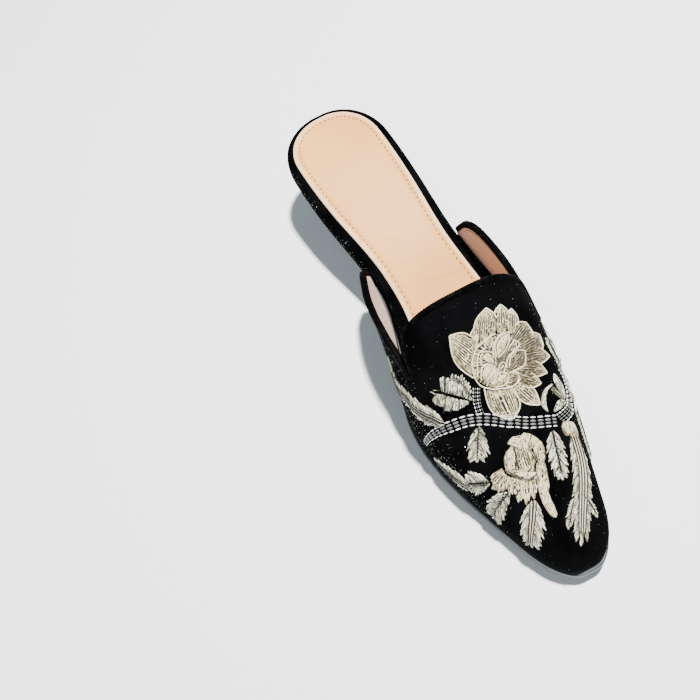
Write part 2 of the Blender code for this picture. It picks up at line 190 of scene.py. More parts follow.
@dataclass
class Last:
    """The shoe last that every piece is cut to.

    gap is the clearance between two pieces, and tip how far inside an end a plan line starts.
    """

    length: float = 250.0
    sections: tuple[Section, ...] = (
        Section(0, 27, 24, 47, 36.5, 1.8, 95),
        Section(30, 26.5, 27, 43, 32.5, 1.8, 87),
        Section(60, 23, 28.5, 36.5, 26, 1.8, 81.5),
        Section(90, 17.9, 30, 27.5, 17.5, 1.8, 78),
        Section(120, 20.6, 36, 14.5, 6.5, 2.2, 71),
        Section(150, 31.2, 37.5, 6.5, 0, 3, 56.5),
        Section(180, 32, 32, 6.5, 0, 3, 37.5),
        Section(205, 26, 25, 7.5, 1.2, 3, 24.5),
        Section(228, 18.5, 18, 9.3, 3, 3, 16),
        Section(250, 11, 11, 11.6, 5.6, 3, 9.5),
    )
    heel_end: EndRound = EndRound(26.0, 2.2)
    toe_end: EndRound = EndRound(19.5, 2.7)
    gap: float = 0.3
    tip: float = 0.12
    steady_columns: tuple[str, ...] = ("tread", "sole")
    lines: dict[str, Line] = field(default_factory=dict)
    origin: tuple[float, float] = (0.0, 0.0)

    def __post_init__(self) -> None:
        """Draws a line through each column, and finds the heel's back on the frame."""
        knots = tuple(section.along for section in self.sections)
        for column in ("medial", "lateral", "footbed", "tread", "sole", "instep"):
            values = tuple(getattr(section, column) for section in self.sections)
            self.lines[column] = Line(knots, values, column in self.steady_columns)
        low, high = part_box("top_piece")
        self.origin = ((low.x + high.x) / 2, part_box("footbed")[0].y - self.tip * MM)

    def read(self, column: str, along: Array) -> Array:
        """One of the last's sizes at each distance along the shoe."""
        return self.lines[column](along)

    def plan(self, along: Array, out: Array | float = 0.0, ends: float | None = None
             ) -> Edges:
        """The plan's two edges.

        Args:
            along: distances along the shoe.
            out: how far the plan is grown sideways.
            ends: how far it is grown at heel and toe; as much as sideways where left out.

        Returns:
            The medial and the lateral edge, as x.
        """
        ends = float(out) if ends is None else ends
        share = self.heel_end.share(along + ends, ends)
        share = share * self.toe_end.share(self.length + ends - along, ends)
        return ((self.read("medial", along) + out) * share,
                -(self.read("lateral", along) + out) * share)

    def board_base(self, along: Array) -> Array:
        """Height of the footbed's underside."""
        return self.read("tread", along) + self.read("sole", along) + self.gap

    def world(self, points: Array) -> Array:
        """Shoe millimetres to world metres."""
        return points * MM + np.array([self.origin[0], self.origin[1], 0.0])


@dataclass(frozen=True)
class Crease:
    """A soft crease, with a given place and size; here and there are its middle on a chart or plan."""

    here: float
    there: float
    heading: float
    length: float
    width: float
    depth: float

    def lies(self, here: Array, there: Array) -> tuple[Array, Array]:
        """How places lie to the crease.

        Args:
            here: their first coordinate.
            there: their second coordinate.

        Returns:
            How far beside it they are, and the depth that it has so far from its middle.
        """
        angle = math.radians(self.heading)
        near, far = here - self.here, there - self.there
        run = near * math.cos(angle) + far * math.sin(angle)
        beside = far * math.cos(angle) - near * math.sin(angle)
        return beside, self.depth * np.exp(-(run / self.length) ** 2)


@dataclass
class UpperForm:
    """The outside of the upper, and a chart on it for laying work.

    A turn goes round a section from 0 at the medial feather line to pi at the lateral one. The
    chart's across is the distance over the surface from the ridge, positive on the medial side.
    """

    last: Last
    across_power: float = 3.3
    up_power: float = 2.7
    dome_power: float = 3.0
    swell: float = 1.8
    swell_from: float = 78.0
    swell_to: float = 94.0
    medial_lean: Line = Line(
        (84, 92, 100, 110, 120, 132, 146, 160, 176), (0, 6.5, 9.5, 10.8, 9.4, 6.0, 2.0, 0, 0), True)
    lateral_lean: Line = Line(
        (84, 92, 100, 110, 120, 132, 146, 160, 176), (0, 2.2, 2.8, 1.8, 0.4, -0.9, -1.7, -1.2, 0), True)
    lean_power: float = 3.0
    creases: tuple[Crease, ...] = (
        Crease(158, 17, 70, 14, 5, 0.35),
        Crease(171, 30, 35, 16, 4, 0.40),
        Crease(186, 24, 60, 12, 3.5, 0.30),
        Crease(176, -41, -40, 16, 4, 0.40),
        Crease(190, -30, -62, 12, 3.5, 0.30),
        Crease(148, -20, -80, 12, 5, 0.30),
        Crease(160, 48, 20, 14, 5, 0.45),
        Crease(206, 2, 88, 15, 4, 0.25),
    )
    stations: Array = field(default_factory=lambda: np.append(np.arange(88.0, 249.5), 249.8))
    turns: Array = field(default_factory=lambda: np.linspace(0, math.pi, 181))
    shares: Array = field(default_factory=lambda: np.linspace(0, 1, 91))

    def __post_init__(self) -> None:
        """Measures each section once, so that the chart can be read quickly."""
        along = np.repeat(self.stations, len(self.turns))
        turn = np.tile(self.turns, len(self.stations))
        points = self.bare(along, turn).reshape(len(self.stations), len(self.turns), 3)
        steps = np.linalg.norm(np.diff(points, axis=1), axis=2)
        arcs = np.concatenate([np.zeros((len(steps), 1)), np.cumsum(steps, axis=1)], axis=1)
        ridge = arcs[:, len(self.turns) // 2][:, None]
        self.arcs = ridge - arcs
        self.girths = {Side.MEDIAL: self.arcs[:, 0], Side.LATERAL: -self.arcs[:, -1]}
        self.turn_tables = {
            side: np.array([
                np.interp(self.shares, np.sort(side.value * row / girth),
                          self.turns[np.argsort(side.value * row)])
                for row, girth in zip(self.arcs, self.girths[side])])
            for side in Side}

    def frame(self, along: Array) -> tuple[Array, Array, Array]:
        """The sections' middle, size and height.

        Args:
            along: distances along the shoe.

        Returns:
            The middle and the half width, as x, and the height above the footbed.
        """
        toe = self.last.toe_end.share(self.last.length - along)
        reach = (along - self.swell_from) / (self.swell_to - self.swell_from)
        out = self.swell * smooth_step(reach)
        medial = self.last.read("medial", along) * toe + out + self.medial_lean(along)
        lateral = self.last.read("lateral", along) * toe + out + self.lateral_lean(along)
        near = np.clip((self.last.length - along) / self.last.toe_end.reach, 0, 1)
        dome = (1 - (1 - near) ** self.dome_power) ** (1 / self.dome_power)
        return (medial - lateral) / 2, (medial + lateral) / 2, self.last.read("instep", along) * dome

    def under(self, along: Array, side: Array, up: Array) -> Array:
        """How far a side wall is drawn in at a share of its height, to meet its foot."""
        lean = np.where(side > 0, self.medial_lean(along), self.lateral_lean(along))
        return lean * (1 - np.minimum(up, 1)) ** self.lean_power

    def bare(self, along: Array, turn: Array) -> Array:
        """Points on the outside before any crease.

        Args:
            along: distances along the shoe.
            turn: the turn round the section.

        Returns:
            Points in shoe millimetres.
        """
        middle, half, height = self.frame(along)
        c, s = np.cos(turn), np.maximum(np.sin(turn), 0)
        side, up = np.where(c < 0, -1.0, 1.0), s ** (2 / self.up_power)
        reach = half * np.abs(c) ** (2 / self.across_power) - self.under(along, side, up)
        return np.stack(
            [middle + side * reach, along, self.last.read("footbed", along) + height * up], axis=-1)

    def normal(self, along: Array, turn: Array) -> Array:
        """Outward normals of the bare outside.

        Args:
            along: distances along the shoe.
            turn: the turn round the section.

        Returns:
            Rows of length one.
        """
        small, step = 0.01, 0.3
        low, high = np.clip(turn - small, 1e-4, 3.13), np.clip(turn + small, 2 * small, math.pi - 1e-4)
        ahead = np.minimum(along + step, self.last.length - 0.02)
        around = self.bare(along, high) - self.bare(along, low)
        forward = self.bare(ahead, turn) - self.bare(ahead - 2 * step, turn)
        return unit(np.cross(forward, around))

    def turn_at(self, points: Array) -> Array:
        """The turn whose direction from the section's middle each point lies in.

        Args:
            points: points in shoe millimetres.

        Returns:
            A turn for each.
        """
        middle, half, height = self.frame(points[:, 1])
        up = np.maximum(points[:, 2] - self.last.read("footbed", points[:, 1]), 0) / height
        side = np.where(points[:, 0] < middle, -1.0, 1.0)
        reach = np.abs(points[:, 0] - middle) + self.under(points[:, 1], side, up)
        c = side * np.minimum(reach / half, 1) ** (self.across_power / 2)
        return np.arctan2(up ** (self.up_power / 2), c)

    def _between(self, table: Array, along: Array, column: Array) -> Array:
        """Reads a table between its stations and columns.

        Args:
            table: one row for each station.
            along: distances along the shoe.
            column: which column to read, with its fraction.

        Returns:
            A value for each place.
        """
        row = np.interp(along, self.stations, np.arange(len(self.stations)))
        i = np.minimum(row.astype(int), len(self.stations) - 2)
        j = np.minimum(column.astype(int), table.shape[1] - 2)
        a, b = row - i, column - j
        return ((1 - a) * ((1 - b) * table[i, j] + b * table[i, j + 1])
                + a * ((1 - b) * table[i + 1, j] + b * table[i + 1, j + 1]))

    def turn_of(self, along: Array, across: Array) -> Array:
        """The turn at each place on the chart.

        Args:
            along: the places' distance along the shoe.
            across: their distance from the ridge.

        Returns:
            A turn for each.
        """
        turns = []
        for side in Side:
            girth = np.interp(along, self.stations, self.girths[side])
            share = np.clip(side.value * across / girth, 0, 1) * (len(self.shares) - 1)
            turns.append(self._between(self.turn_tables[side], along, share))
        return np.where(across >= 0, turns[0], turns[1])

    def across_of(self, along: Array, turn: Array) -> Array:
        """The chart's across for a turn."""
        return self._between(self.arcs, along, turn / math.pi * (len(self.turns) - 1))

    def from_edge(self, side: Side, along: float, rise: float) -> float:
        """The chart's across at a distance up the wall from the feather line."""
        girth = float(np.interp(along, self.stations, self.girths[side]))
        return side.value * (girth - rise)

    def relief(self, along: Array, across: Array) -> Array:
        """How far the creases lift (or sink) the surface.

        Args:
            along: places along the shoe.
            across: the same places' distance from the ridge.

        Returns:
            The rise at each place.
        """
        total = np.zeros_like(along)
        for crease in self.creases:
            beside, depth = crease.lies(along, across)
            part = beside / crease.width
            total -= 2 * depth * (np.exp(-part ** 2) - 0.5 * np.exp(-(part / 2) ** 2))
        return total

    def at_turn(self, along: Array, turn: Array, lift: Array | float = 0.0) -> Array:
        """Points on the finished outside, or off it by a lift."""
        rise = lift + self.relief(along, self.across_of(along, turn))
        return self.bare(along, turn) + self.normal(along, turn) * np.expand_dims(rise, -1)

    def at(self, along: Array, across: Array, lift: Array | float = 0.0) -> Array:
        """Points at places on the chart, off the surface by a lift."""
        return self.at_turn(along, self.turn_of(along, across), lift)

    def stretch(self, along: float, across: float) -> float:
        """Millimetres over the surface for each millimetre along."""
        pair = self.at(np.array([along - 1.0, along + 1.0]), np.array([across, across]))
        return float(np.linalg.norm(pair[1] - pair[0])) / 2


@dataclass(frozen=True)
class Rise:
    """How high a side wall stands above the footbed at a distance along the shoe."""

    along: float
    up: float


@dataclass
class Topline:
    """The edge of the upper: up one side wall, over the tongue and down the other."""

    form: UpperForm
    medial: tuple[Rise, ...] = (
        Rise(88.5, 2.6), Rise(93, 13.5), Rise(100, 20.5), Rise(112, 29.0), Rise(130, 38.5),
        Rise(145, 41.5), Rise(155, 40.5))
    lateral: tuple[Rise, ...] = (
        Rise(88.5, 2.6), Rise(93, 12.0), Rise(100, 18.5), Rise(112, 23.5), Rise(130, 28.5),
        Rise(145, 29.5), Rise(153, 29.0))
    tongue_top: float = 141.0
    medial_corner: float = 12.0
    lateral_corner: float = 16.0
    spacing: float = 0.5
    softening: int = 7
    crowding: float = 1.6

    def __post_init__(self) -> None:
        """Works out the path, its run, the way into the upper, and the outward normal."""
        medial = self._wall(self.medial, Side.MEDIAL)
        lateral = self._wall(self.lateral, Side.LATERAL)[::-1]
        pairs = np.concatenate([medial, self._tongue(medial[-1], lateral[0]), lateral])
        path = even(self.form.bare(pairs[:, 0], pairs[:, 1]), self.spacing)
        for _ in range(self.softening):
            path[1:-1] = (path[:-2] + 2 * path[1:-1] + path[2:]) / 4
        self.path = path
        self.run = unit(np.gradient(path, axis=0))
        self.normals = self.form.normal(path[:, 1], self.form.turn_at(path))
        self.inward = unit(np.cross(self.run, self.normals))
        self.shares = np.linspace(0, 1, len(path))

    def _wall(self, rises: Sequence[Rise], side: Side, steps: int = 60) -> Array:
        """The edge up one side wall.

        Args:
            rises: how high the wall stands.
            side: which wall it is.
            steps: how many places are wanted.

        Returns:
            (along, turn) from the wall's back end to the notch, closer together at its low end.
        """
        line = Line(tuple(rise.along for rise in rises), tuple(rise.up for rise in rises), steady=True)
        share = np.linspace(0, 1, steps) ** self.crowding
        along = rises[0].along + (rises[-1].along - rises[0].along) * share
        height = self.form.frame(along)[2]
        turn = np.arcsin(np.minimum(line(along) / height, 1) ** (self.form.up_power / 2))
        return np.stack([along, turn if side is Side.MEDIAL else math.pi - turn], axis=1)

    def _tongue(self, medial_notch: Array, lateral_notch: Array, steps: int = 160) -> Array:
        """The tongue's top edge.

        Args:
            medial_notch: (along, turn) of the medial notch.
            lateral_notch: (along, turn) of the lateral notch.
            steps: how finely it is walked.

        Returns:
            (along, turn) from notch to notch, without the notches.
        """
        across = -np.cos(math.pi * np.arange(1, steps) / steps)[:, None]
        notch = np.where(across < 0, medial_notch, lateral_notch)
        power = np.where(across < 0, self.medial_corner, self.lateral_corner)[:, 0]
        share = np.abs(across[:, 0])
        along = self.tongue_top + (notch[:, 0] - self.tongue_top) * share ** power
        return np.stack([along, math.pi / 2 + (notch[:, 1] - math.pi / 2) * share], axis=1)

    def off(self, share: Array, inward: Array | float, out: Array | float) -> Array:
        """Points at shares of the topline, so far into the upper and so far off its outside."""
        edge, inner, outer = (
            read_rows(share, self.shares, rows) for rows in (self.path, self.inward, self.normals))
        return edge + inner * np.expand_dims(inward, -1) + outer * np.expand_dims(out, -1)


class Outline:
    """The closed plan line of a flat piece, from the heel round the medial side and back."""

    stations = 240
    step = 0.5

    def __init__(self, edges: Callable[[Array], Edges], first: float, end: float,
                 spine_inset: float) -> None:
        """Walks the two edges once.

        Args:
            edges: gives the medial and the lateral edge for distances along the shoe.
            first: where the piece begins.
            end: where it ends.
            spine_inset: how far the piece's middle line stays from both ends.
        """
        ease = (1 - np.cos(np.linspace(0, math.pi, self.stations))) / 2
        along = first + (end - first) * ease
        medial, lateral = edges(along)
        middle = (medial + lateral) / 2
        halves = [
            np.column_stack([np.concatenate([middle[:1], edge, middle[-1:]]),
                             np.concatenate([along[:1], along, along[-1:]])])
            for edge in (medial, lateral)]
        steps = sum(np.linalg.norm(np.diff(half, axis=0), axis=1) for half in halves) / 2
        walked = np.concatenate([[0], np.cumsum(steps)])
        at = np.linspace(0, walked[-1], int(walked[-1] / self.step) + 1)
        halves = [read_rows(at, walked, half) for half in halves]
        self.loop = np.concatenate([halves[0], halves[1][::-1][1:]])
        tangent = np.roll(self.loop[:-1], -1, axis=0) - np.roll(self.loop[:-1], 1, axis=0)
        tangent = unit(np.concatenate([tangent, tangent[:1]]))
        self.inner = np.stack([-tangent[:, 1], tangent[:, 0]], axis=1)
        self.shares = np.linspace(0, 1, len(self.loop))
        self.length = 2 * walked[-1]
        self.spine = (first + spine_inset, end - spine_inset)
        self.edges = edges

    def at(self, share: Array, inset: Array | float, to_spine: Array | float = 0.0) -> Array:
        """Plan points (x, along) inside the line.

        Args:
            share: how far round the line, from 0 to 1.
            inset: distance in from the line.
            to_spine: share of the way from there to the piece's middle line.

        Returns:
            Plan points, one row each.
        """
        share = np.asarray(share) % 1.0
        line, inner = (read_rows(share, self.shares, rows) for rows in (self.loop, self.inner))
        edge = line + inner * np.expand_dims(inset, -1)
        spine_along = np.clip(line[..., 1], *self.spine)
        medial, lateral = self.edges(spine_along)
        spine = np.stack([(medial + lateral) / 2, spine_along], axis=-1)
        part = np.expand_dims(to_spine, -1)
        return edge * (1 - part) + spine * part


# ---------------- materials


def maths(operation: str) -> Callable[["Wire", "Wire | float"], "Wire"]:
    """A method of Wire that adds one Math node."""
    return lambda wire, other: wire.math(operation, other)


class Wire:
    """A shader socket that Python's arithmetic adds Math nodes to."""

    def __init__(self, graph: "Graph", socket: bpy.types.NodeSocket) -> None:
        """Keeps the socket and the graph that it belongs to."""
        self.graph = graph
        self.socket = socket

    def math(self, operation: str, *values: "Wire | float") -> "Wire":
        """One Math node on this socket and a few more sockets or numbers."""
        inputs = dict(enumerate((self, *values)))
        return self.graph.node("Math", {"operation": operation}, inputs)

    def __rsub__(self, other: float) -> "Wire":
        """Difference from a number."""
        return self * -1.0 + other

    __add__ = __radd__ = maths("ADD")
    __mul__ = __rmul__ = maths("MULTIPLY")
    __sub__ = maths("SUBTRACT")
    __pow__ = maths("POWER")
    __gt__ = maths("GREATER_THAN")
    __lt__ = maths("LESS_THAN")

    def ramp(self, low: float, high: float, to_low: float = 0.0, to_high: float = 1.0) -> "Wire":
        """Eases from one value to another as this goes from low to high."""
        inputs = dict(enumerate((self, low, high, to_low, to_high)))
        return self.graph.node("MapRange", {"interpolation_type": "SMOOTHSTEP"}, inputs)


class Graph:
    """The node tree of one material."""

    def __init__(self, name: str) -> None:
        """Starts a material with a Principled shader."""
        self.material = bpy.data.materials.new(name)
        self.material.use_nodes = True
        self.tree = self.material.node_tree
        self.shader = self.tree.nodes["Principled BSDF"]

    def node(self, kind: str, settings: dict[str, object], inputs: dict[int | str, object],
             output: int | str = 0) -> Wire:
        """Adds a node.

        Args:
            kind: the node's type, after ShaderNode.
            settings: its own settings, made first.
            inputs: values, colours or wires for its input sockets.
            output: which output the wire comes from.

        Returns:
            A wire from that output.
        """
        made = self.tree.nodes.new("ShaderNode" + kind)
        for name, value in settings.items():
            setattr(made, name, value)
        for key, value in inputs.items():
            self.feed(made.inputs[key], value)
        return Wire(self, made.outputs[output])

    def feed(self, socket: bpy.types.NodeSocket, value: object) -> None:
        """Links a wire to a socket, or sets the socket's own value.

        Args:
            socket: the socket that is fed.
            value: a wire, a number, a vector or a colour.
        """
        if isinstance(value, Wire):
            self.tree.links.new(value.socket, socket)
        elif isinstance(value, tuple) and len(value) == 3 and socket.type == "RGBA":
            socket.default_value = (*value, 1.0)
        else:
            socket.default_value = value

    def place(self) -> Wire:
        """Where a point is on the shoe, in metres."""
        return self.node("TexCoord", {}, {}, "Object")

    def drawn(self, layer: str) -> Wire:
        """A piece's own drawn-on coordinates."""
        return self.node("UVMap", {"uv_map": layer}, {})

    def share(self, name: str) -> Wire:
        """A number that the piece's own vertices carry."""
        return self.node("Attribute", {"attribute_name": name}, {}, "Fac")

    def vector(self, operation: str, *values: "Wire | Colour") -> Wire:
        """One Vector Math node on a few vectors."""
        return self.node("VectorMath", {"operation": operation}, dict(enumerate(values)))

    def noise(self, vector: Wire, scale: float, detail: float) -> Wire:
        """Smooth noise, about 0 to 1."""
        return self.node("TexNoise", {}, {
            "Vector": vector, "Scale": scale, "Detail": detail, "Roughness": 0.5})

    def blend(self, share: Wire | float, low: object, high: object, how: str = "MIX") -> Wire:
        """Two colours mixed by a share."""
        settings = {"data_type": "RGBA", "blend_type": how}
        return self.node("Mix", settings, {0: share, 6: low, 7: high}, 2)

    def bump(self, height: Wire, depth_mm: float, strength: float = 1.0) -> Wire:
        """A normal raised by a height from 0 to 1, over a depth in millimetres."""
        return self.node("Bump", {}, {
            "Strength": strength, "Distance": depth_mm * MM, "Height": height})

    def finish(self, **inputs: object) -> Material:
        """Sets the shader's sockets, named with underscores for spaces.

        Args:
            inputs: values or wires for the shader's sockets.

        Returns:
            The finished material.
        """
        for name, value in inputs.items():
            self.feed(self.shader.inputs[name.replace("_", " ")], value)
        return self.material


@dataclass(frozen=True)
class Velvet:
    """Short black pile with soft patches of painted sheen, and fine silver glitter that is thick where a
    piece's sparkle number is high.
    """

    name: str = "glitter_velvet"
    pile: Colour = (0.0008, 0.0008, 0.0009)
    lit_pile: Colour = (0.0026, 0.0026, 0.0029)
    fleck_mm: float = 0.52
    fleck_size: float = 0.26
    fleck_share: float = 0.34
    fleck_tip: float = 1.3
    silver: Colour = (0.50, 0.46, 0.43)

    def material(self) -> Material:
        """Builds the material."""
        graph = Graph(self.name)
        place = graph.place()
        pile_sheen = graph.noise(place, 70.0, 3.0)
        pile = graph.noise(place, 2600.0, 1.0)
        turned = graph.node("Mapping", {}, {"Vector": place, "Rotation": (0.5, 0.8, 0.3)})
        cells = {"Vector": turned, "Scale": 1 / (self.fleck_mm * MM)}
        near = graph.node("TexVoronoi", {}, cells, "Distance")
        tint = graph.node("TexVoronoi", {}, cells, "Color")
        parts = graph.node("SeparateColor", {}, {0: tint}, 0)
        gathered = graph.noise(place, 45.0, 2.0).ramp(0.35, 0.65, 0.55, 1.0)
        fleck = (near < self.fleck_size) * (parts < gathered * graph.share("sparkle") * self.fleck_share)
        # painted sheen: soft patches where the pile is mixed towards the lighter lit_pile
        cloth = graph.blend(pile_sheen.ramp(0.3, 0.7), self.pile, self.lit_pile)
        metal = graph.blend(0.25, self.silver, tint)
        around = graph.vector("SUBTRACT", tint, (0.5, 0.5, 0.5))
        soft = graph.bump(pile, 0.12, 0.5)
        tipped = graph.vector("MULTIPLY_ADD", around, (self.fleck_tip,) * 3, soft)
        facet = graph.vector("NORMALIZE", tipped)
        normal = graph.node("Mix", {"data_type": "VECTOR"}, {0: fleck, 4: soft, 5: facet}, 1)
        return graph.finish(
            Base_Color=graph.blend(fleck, cloth, metal), Metallic=fleck,
            Roughness=0.95 - fleck * 0.62, Normal=normal, Sheen_Weight=0.003,
            Sheen_Roughness=0.5, Specular_IOR_Level=0.006)


@dataclass(frozen=True)
class Thread:
    """Laid embroidery thread; u runs along a thread and v across the threads, in millimetres. Painted shade
    darkens the grooves between the plies.
    """

    name: str
    pale: Colour
    deep: Colour
    ground: Colour = (0.010, 0.010, 0.008)
    thread_mm: float = 0.85
    lane_mm: float = 1.05
    gap_share: float = 0.52
    rough: float = 0.45

    def material(self) -> Material:
        """Builds the material."""
        graph = Graph(self.name)
        laid = graph.drawn("thread")
        ahead = graph.node("SeparateXYZ", {}, {0: laid}, 0)
        across = graph.node("SeparateXYZ", {}, {0: laid}, 1)
        ply = (across * (TURN / self.thread_mm)).math("SINE") * 0.5 + 0.5
        lanes = across * (1 / self.lane_mm)
        lane = graph.node("CombineXYZ", {}, {0: ahead * 0.8, 1: lanes.math("FLOOR") * 7.31})
        broken = graph.noise(lane, 1.0, 1.0)
        gap = (broken > 0.74 - graph.share("open") * 0.40) * (lanes.math("FRACT") < self.gap_share)
        streak = graph.noise(graph.vector("MULTIPLY", laid, (0.42, 1.35, 1.0)), 1.0, 2.0)
        tone = graph.share("tone") * 0.9 + streak.ramp(0.34, 0.66) * 0.75 - 0.45
        tone = tone.math("MINIMUM", 1.0).math("MAXIMUM", 0.0) ** 1.7
        silk = graph.blend(tone, self.deep, self.pale)
        # painted shade: the grooves between the plies are multiplied towards the deep colour
        groove_shaded = graph.blend(ply.ramp(0.0, 0.5, 0.55, 0.0), silk, self.deep, "MULTIPLY")
        colour = graph.blend(gap, groove_shaded, self.ground)
        height = ply * 0.55 + streak * 0.45 - gap * 0.8
        return graph.finish(
            Base_Color=colour, Roughness=gap * 0.4 + self.rough,
            Normal=graph.bump(height, 0.25, 0.9), Sheen_Weight=0.10, Specular_IOR_Level=0.4)


@dataclass(frozen=True)
class Twist:
    """A thread lying as a cord, or a stitch: one colour with fine ply marks."""

    name: str
    light: Colour
    dark: Colour
    rough: float = 0.45

    def material(self) -> Material:
        """Builds the material."""
        graph = Graph(self.name)
        place = graph.place()
        ply = graph.noise(place, 1900.0, 1.0)
        worn = graph.noise(place, 160.0, 2.0)
        colour = graph.blend(worn.ramp(0.3, 0.7) * 0.6 + ply.ramp(0.3, 0.7) * 0.4, self.dark, self.light)
        return graph.finish(
            Base_Color=colour, Roughness=self.rough, Normal=graph.bump(ply, 0.12, 0.7),
            Sheen_Weight=0.12)


@dataclass(frozen=True)
class SoftLeather:
    """Smooth coated leather with fine grain, a little mottling, and a painted highlight in the edge colour
    where a piece's edge number is high.
    """

    name: str
    light: Colour
    dark: Colour
    edge: Colour
    rough: float = 0.48

    def material(self) -> Material:
        """Builds the material."""
        graph = Graph(self.name)
        place = graph.place()
        cloud = graph.noise(place, 28.0, 3.0)
        grain = graph.node("TexVoronoi", {"feature": "SMOOTH_F1"}, {
            "Vector": place, "Scale": 1500.0}, "Distance")
        fine = graph.noise(place, 1100.0, 3.0)
        body = graph.blend(cloud.ramp(0.32, 0.68), self.dark, self.light)
        # painted highlight: the edge number mixes in the paler edge colour
        colour = graph.blend(graph.share("edge"), body, self.edge)
        return graph.finish(
            Base_Color=colour, Roughness=cloud.ramp(0.3, 0.7, self.rough - 0.05, self.rough + 0.07),
            Normal=graph.bump(grain * 0.6 + fine * 0.4, 0.06, 0.5), Specular_IOR_Level=0.25)


@dataclass(frozen=True)
class Tape:
    """Black binding tape with a close rib."""

    name: str = "ribbed_black_tape"
    dark: Colour = (0.0005, 0.0005, 0.0006)
    light: Colour = (0.003, 0.003, 0.0033)

    def material(self) -> Material:
        """Builds the material."""
        graph = Graph(self.name)
        place = graph.place()
        weave = graph.noise(place, 1500.0, 1.0)
        rub = graph.noise(place, 420.0, 2.0)
        colour = graph.blend(rub.ramp(0.42, 0.72), self.dark, self.light)
        return graph.finish(
            Base_Color=colour, Roughness=rub.ramp(0.3, 0.7, 0.75, 0.45),
            Normal=graph.bump(weave, 0.15, 0.7), Specular_IOR_Level=0.015)


@dataclass(frozen=True)
class Rubber:
    """Charcoal sole, satin, with faint lengthwise streaks."""

    name: str = "charcoal_rubber"
    dark: Colour = (0.022, 0.025, 0.028)
    light: Colour = (0.050, 0.055, 0.060)

    def material(self) -> Material:
        """Builds the material."""
        graph = Graph(self.name)
        place = graph.place()
        streak = graph.noise(graph.vector("MULTIPLY", place, (160.0, 22.0, 900.0)), 1.0, 2.0)
        speck = graph.noise(place, 1300.0, 2.0)
        colour = graph.blend(streak.ramp(0.4, 0.75), self.dark, self.light)
        return graph.finish(
            Base_Color=colour, Roughness=speck.ramp(0.3, 0.7, 0.30, 0.48),
            Normal=graph.bump(speck, 0.05, 0.4))


@dataclass(frozen=True)
class Lacquer:
    """Glossy black heel finish with the slightest waviness."""

    name: str = "black_lacquer"
    black: Colour = (0.006, 0.006, 0.007)

    def material(self) -> Material:
        """Builds the material."""
        graph = Graph(self.name)
        place = graph.place()
        wave = graph.noise(place, 120.0, 1.0)
        dust = graph.noise(place, 900.0, 3.0)
        return graph.finish(
            Base_Color=graph.blend(dust.ramp(0.55, 0.8), self.black, (0.02, 0.02, 0.021)),
            Roughness=dust.ramp(0.4, 0.8, 0.07, 0.2), Normal=graph.bump(wave, 0.25, 0.25),
            Coat_Weight=1.0, Coat_Roughness=0.04)


@dataclass(frozen=True)
class Paper:
    """The plain pale floor."""

    name: str = "pale_floor"
    colour: Colour = (0.95, 0.95, 0.94)

    def material(self) -> Material:
        """Builds the material."""
        graph = Graph(self.name)
        tooth = graph.noise(graph.place(), 260.0, 3.0)
        return graph.finish(Base_Color=self.colour, Roughness=0.9,
                            Normal=graph.bump(tooth, 0.25, 0.35))


# ---------------- making pieces


@dataclass(frozen=True)
class Drawn:
    """What a grid's points carry for their material, worked out from their two shares."""

    thread: Place | None = None
    numbers: dict[str, Callable[[Array, Array], Array]] = field(default_factory=dict)


def skin(columns: int, rows: int, place: Place, drawn: Drawn = Drawn()) -> Shape:
    """A grid with every point put in place by a function of its two shares.

    Args:
        columns: faces across, for the first share.
        rows: faces along, for the second share.
        place: gives world points for the shares.
        drawn: thread coordinates and numbers for the material.

    Returns:
        The open skin.
    """
    shape = bmesh.new()
    bmesh.ops.create_grid(shape, x_segments=columns, y_segments=rows, size=0.5)
    shares = np.array([vert.co[:2] for vert in shape.verts]) + 0.5
    s, t = shares[:, 0], shares[:, 1]
    for name, worked in drawn.numbers.items():
        layer = shape.verts.layers.float.new(name)
        for vert, value in zip(shape.verts, worked(s, t)):
            vert[layer] = float(value)
    if drawn.thread:
        layer = shape.loops.layers.uv.new("thread")
        laid = drawn.thread(s, t)
        for face in shape.faces:
            for loop in face.loops:
                loop[layer].uv = laid[loop.vert.index]
    for vert, point in zip(shape.verts, place(s, t)):
        vert.co = point
    return shape


def close_round(shape: Shape) -> None:
    """Joins a skin's two seam edges and fills whatever ends are left open."""
    bmesh.ops.remove_doubles(shape, verts=shape.verts, dist=WELD)
    bmesh.ops.dissolve_degenerate(shape, edges=shape.edges, dist=WELD)
    rims = [edge for edge in shape.edges if edge.is_boundary]
    if rims:
        bmesh.ops.holes_fill(shape, edges=rims, sides=0)
    bmesh.ops.recalc_face_normals(shape, faces=shape.faces)


def face_out(shape: Shape, wall_mm: float = 0.0) -> None:
    """Turns an open skin so that it looks away from the shoe's inside.

    Args:
        shape: the skin.
        wall_mm: the wall that it then gets on its inner side, if any.
    """
    bmesh.ops.recalc_face_normals(shape, faces=shape.faces)
    shape.normal_update()
    inside = Vector((0.0, 0.0, 0.012))
    looks = sum((face.calc_center_median() - inside).normalized().dot(face.normal) for face in shape.faces)
    if looks < 0:
        bmesh.ops.reverse_faces(shape, faces=shape.faces)
    if wall_mm:
        bmesh.ops.solidify(shape, geom=shape.faces[:], thickness=wall_mm * MM)


def mesh_of(name: str, shape: Shape) -> bpy.types.Mesh:
    """A shape as a mesh; the shape is used up."""
    mesh = bpy.data.meshes.new(name)
    shape.to_mesh(mesh)
    shape.free()
    return mesh


def placed(name: str, data: bpy.types.ID) -> bpy.types.Object:
    """A new object in the scene."""
    made = bpy.data.objects.new(name, data)
    bpy.context.scene.collection.objects.link(made)
    return made


def gather(shapes: Sequence[Shape]) -> Shape:
    """Several shapes as one.

    Args:
        shapes: the shapes, which are used up.

    Returns:
        The one shape.
    """
    whole = bmesh.new()
    for shape in shapes:
        mesh = mesh_of("part", shape)
        whole.from_mesh(mesh)
        bpy.data.meshes.remove(mesh)
    return whole


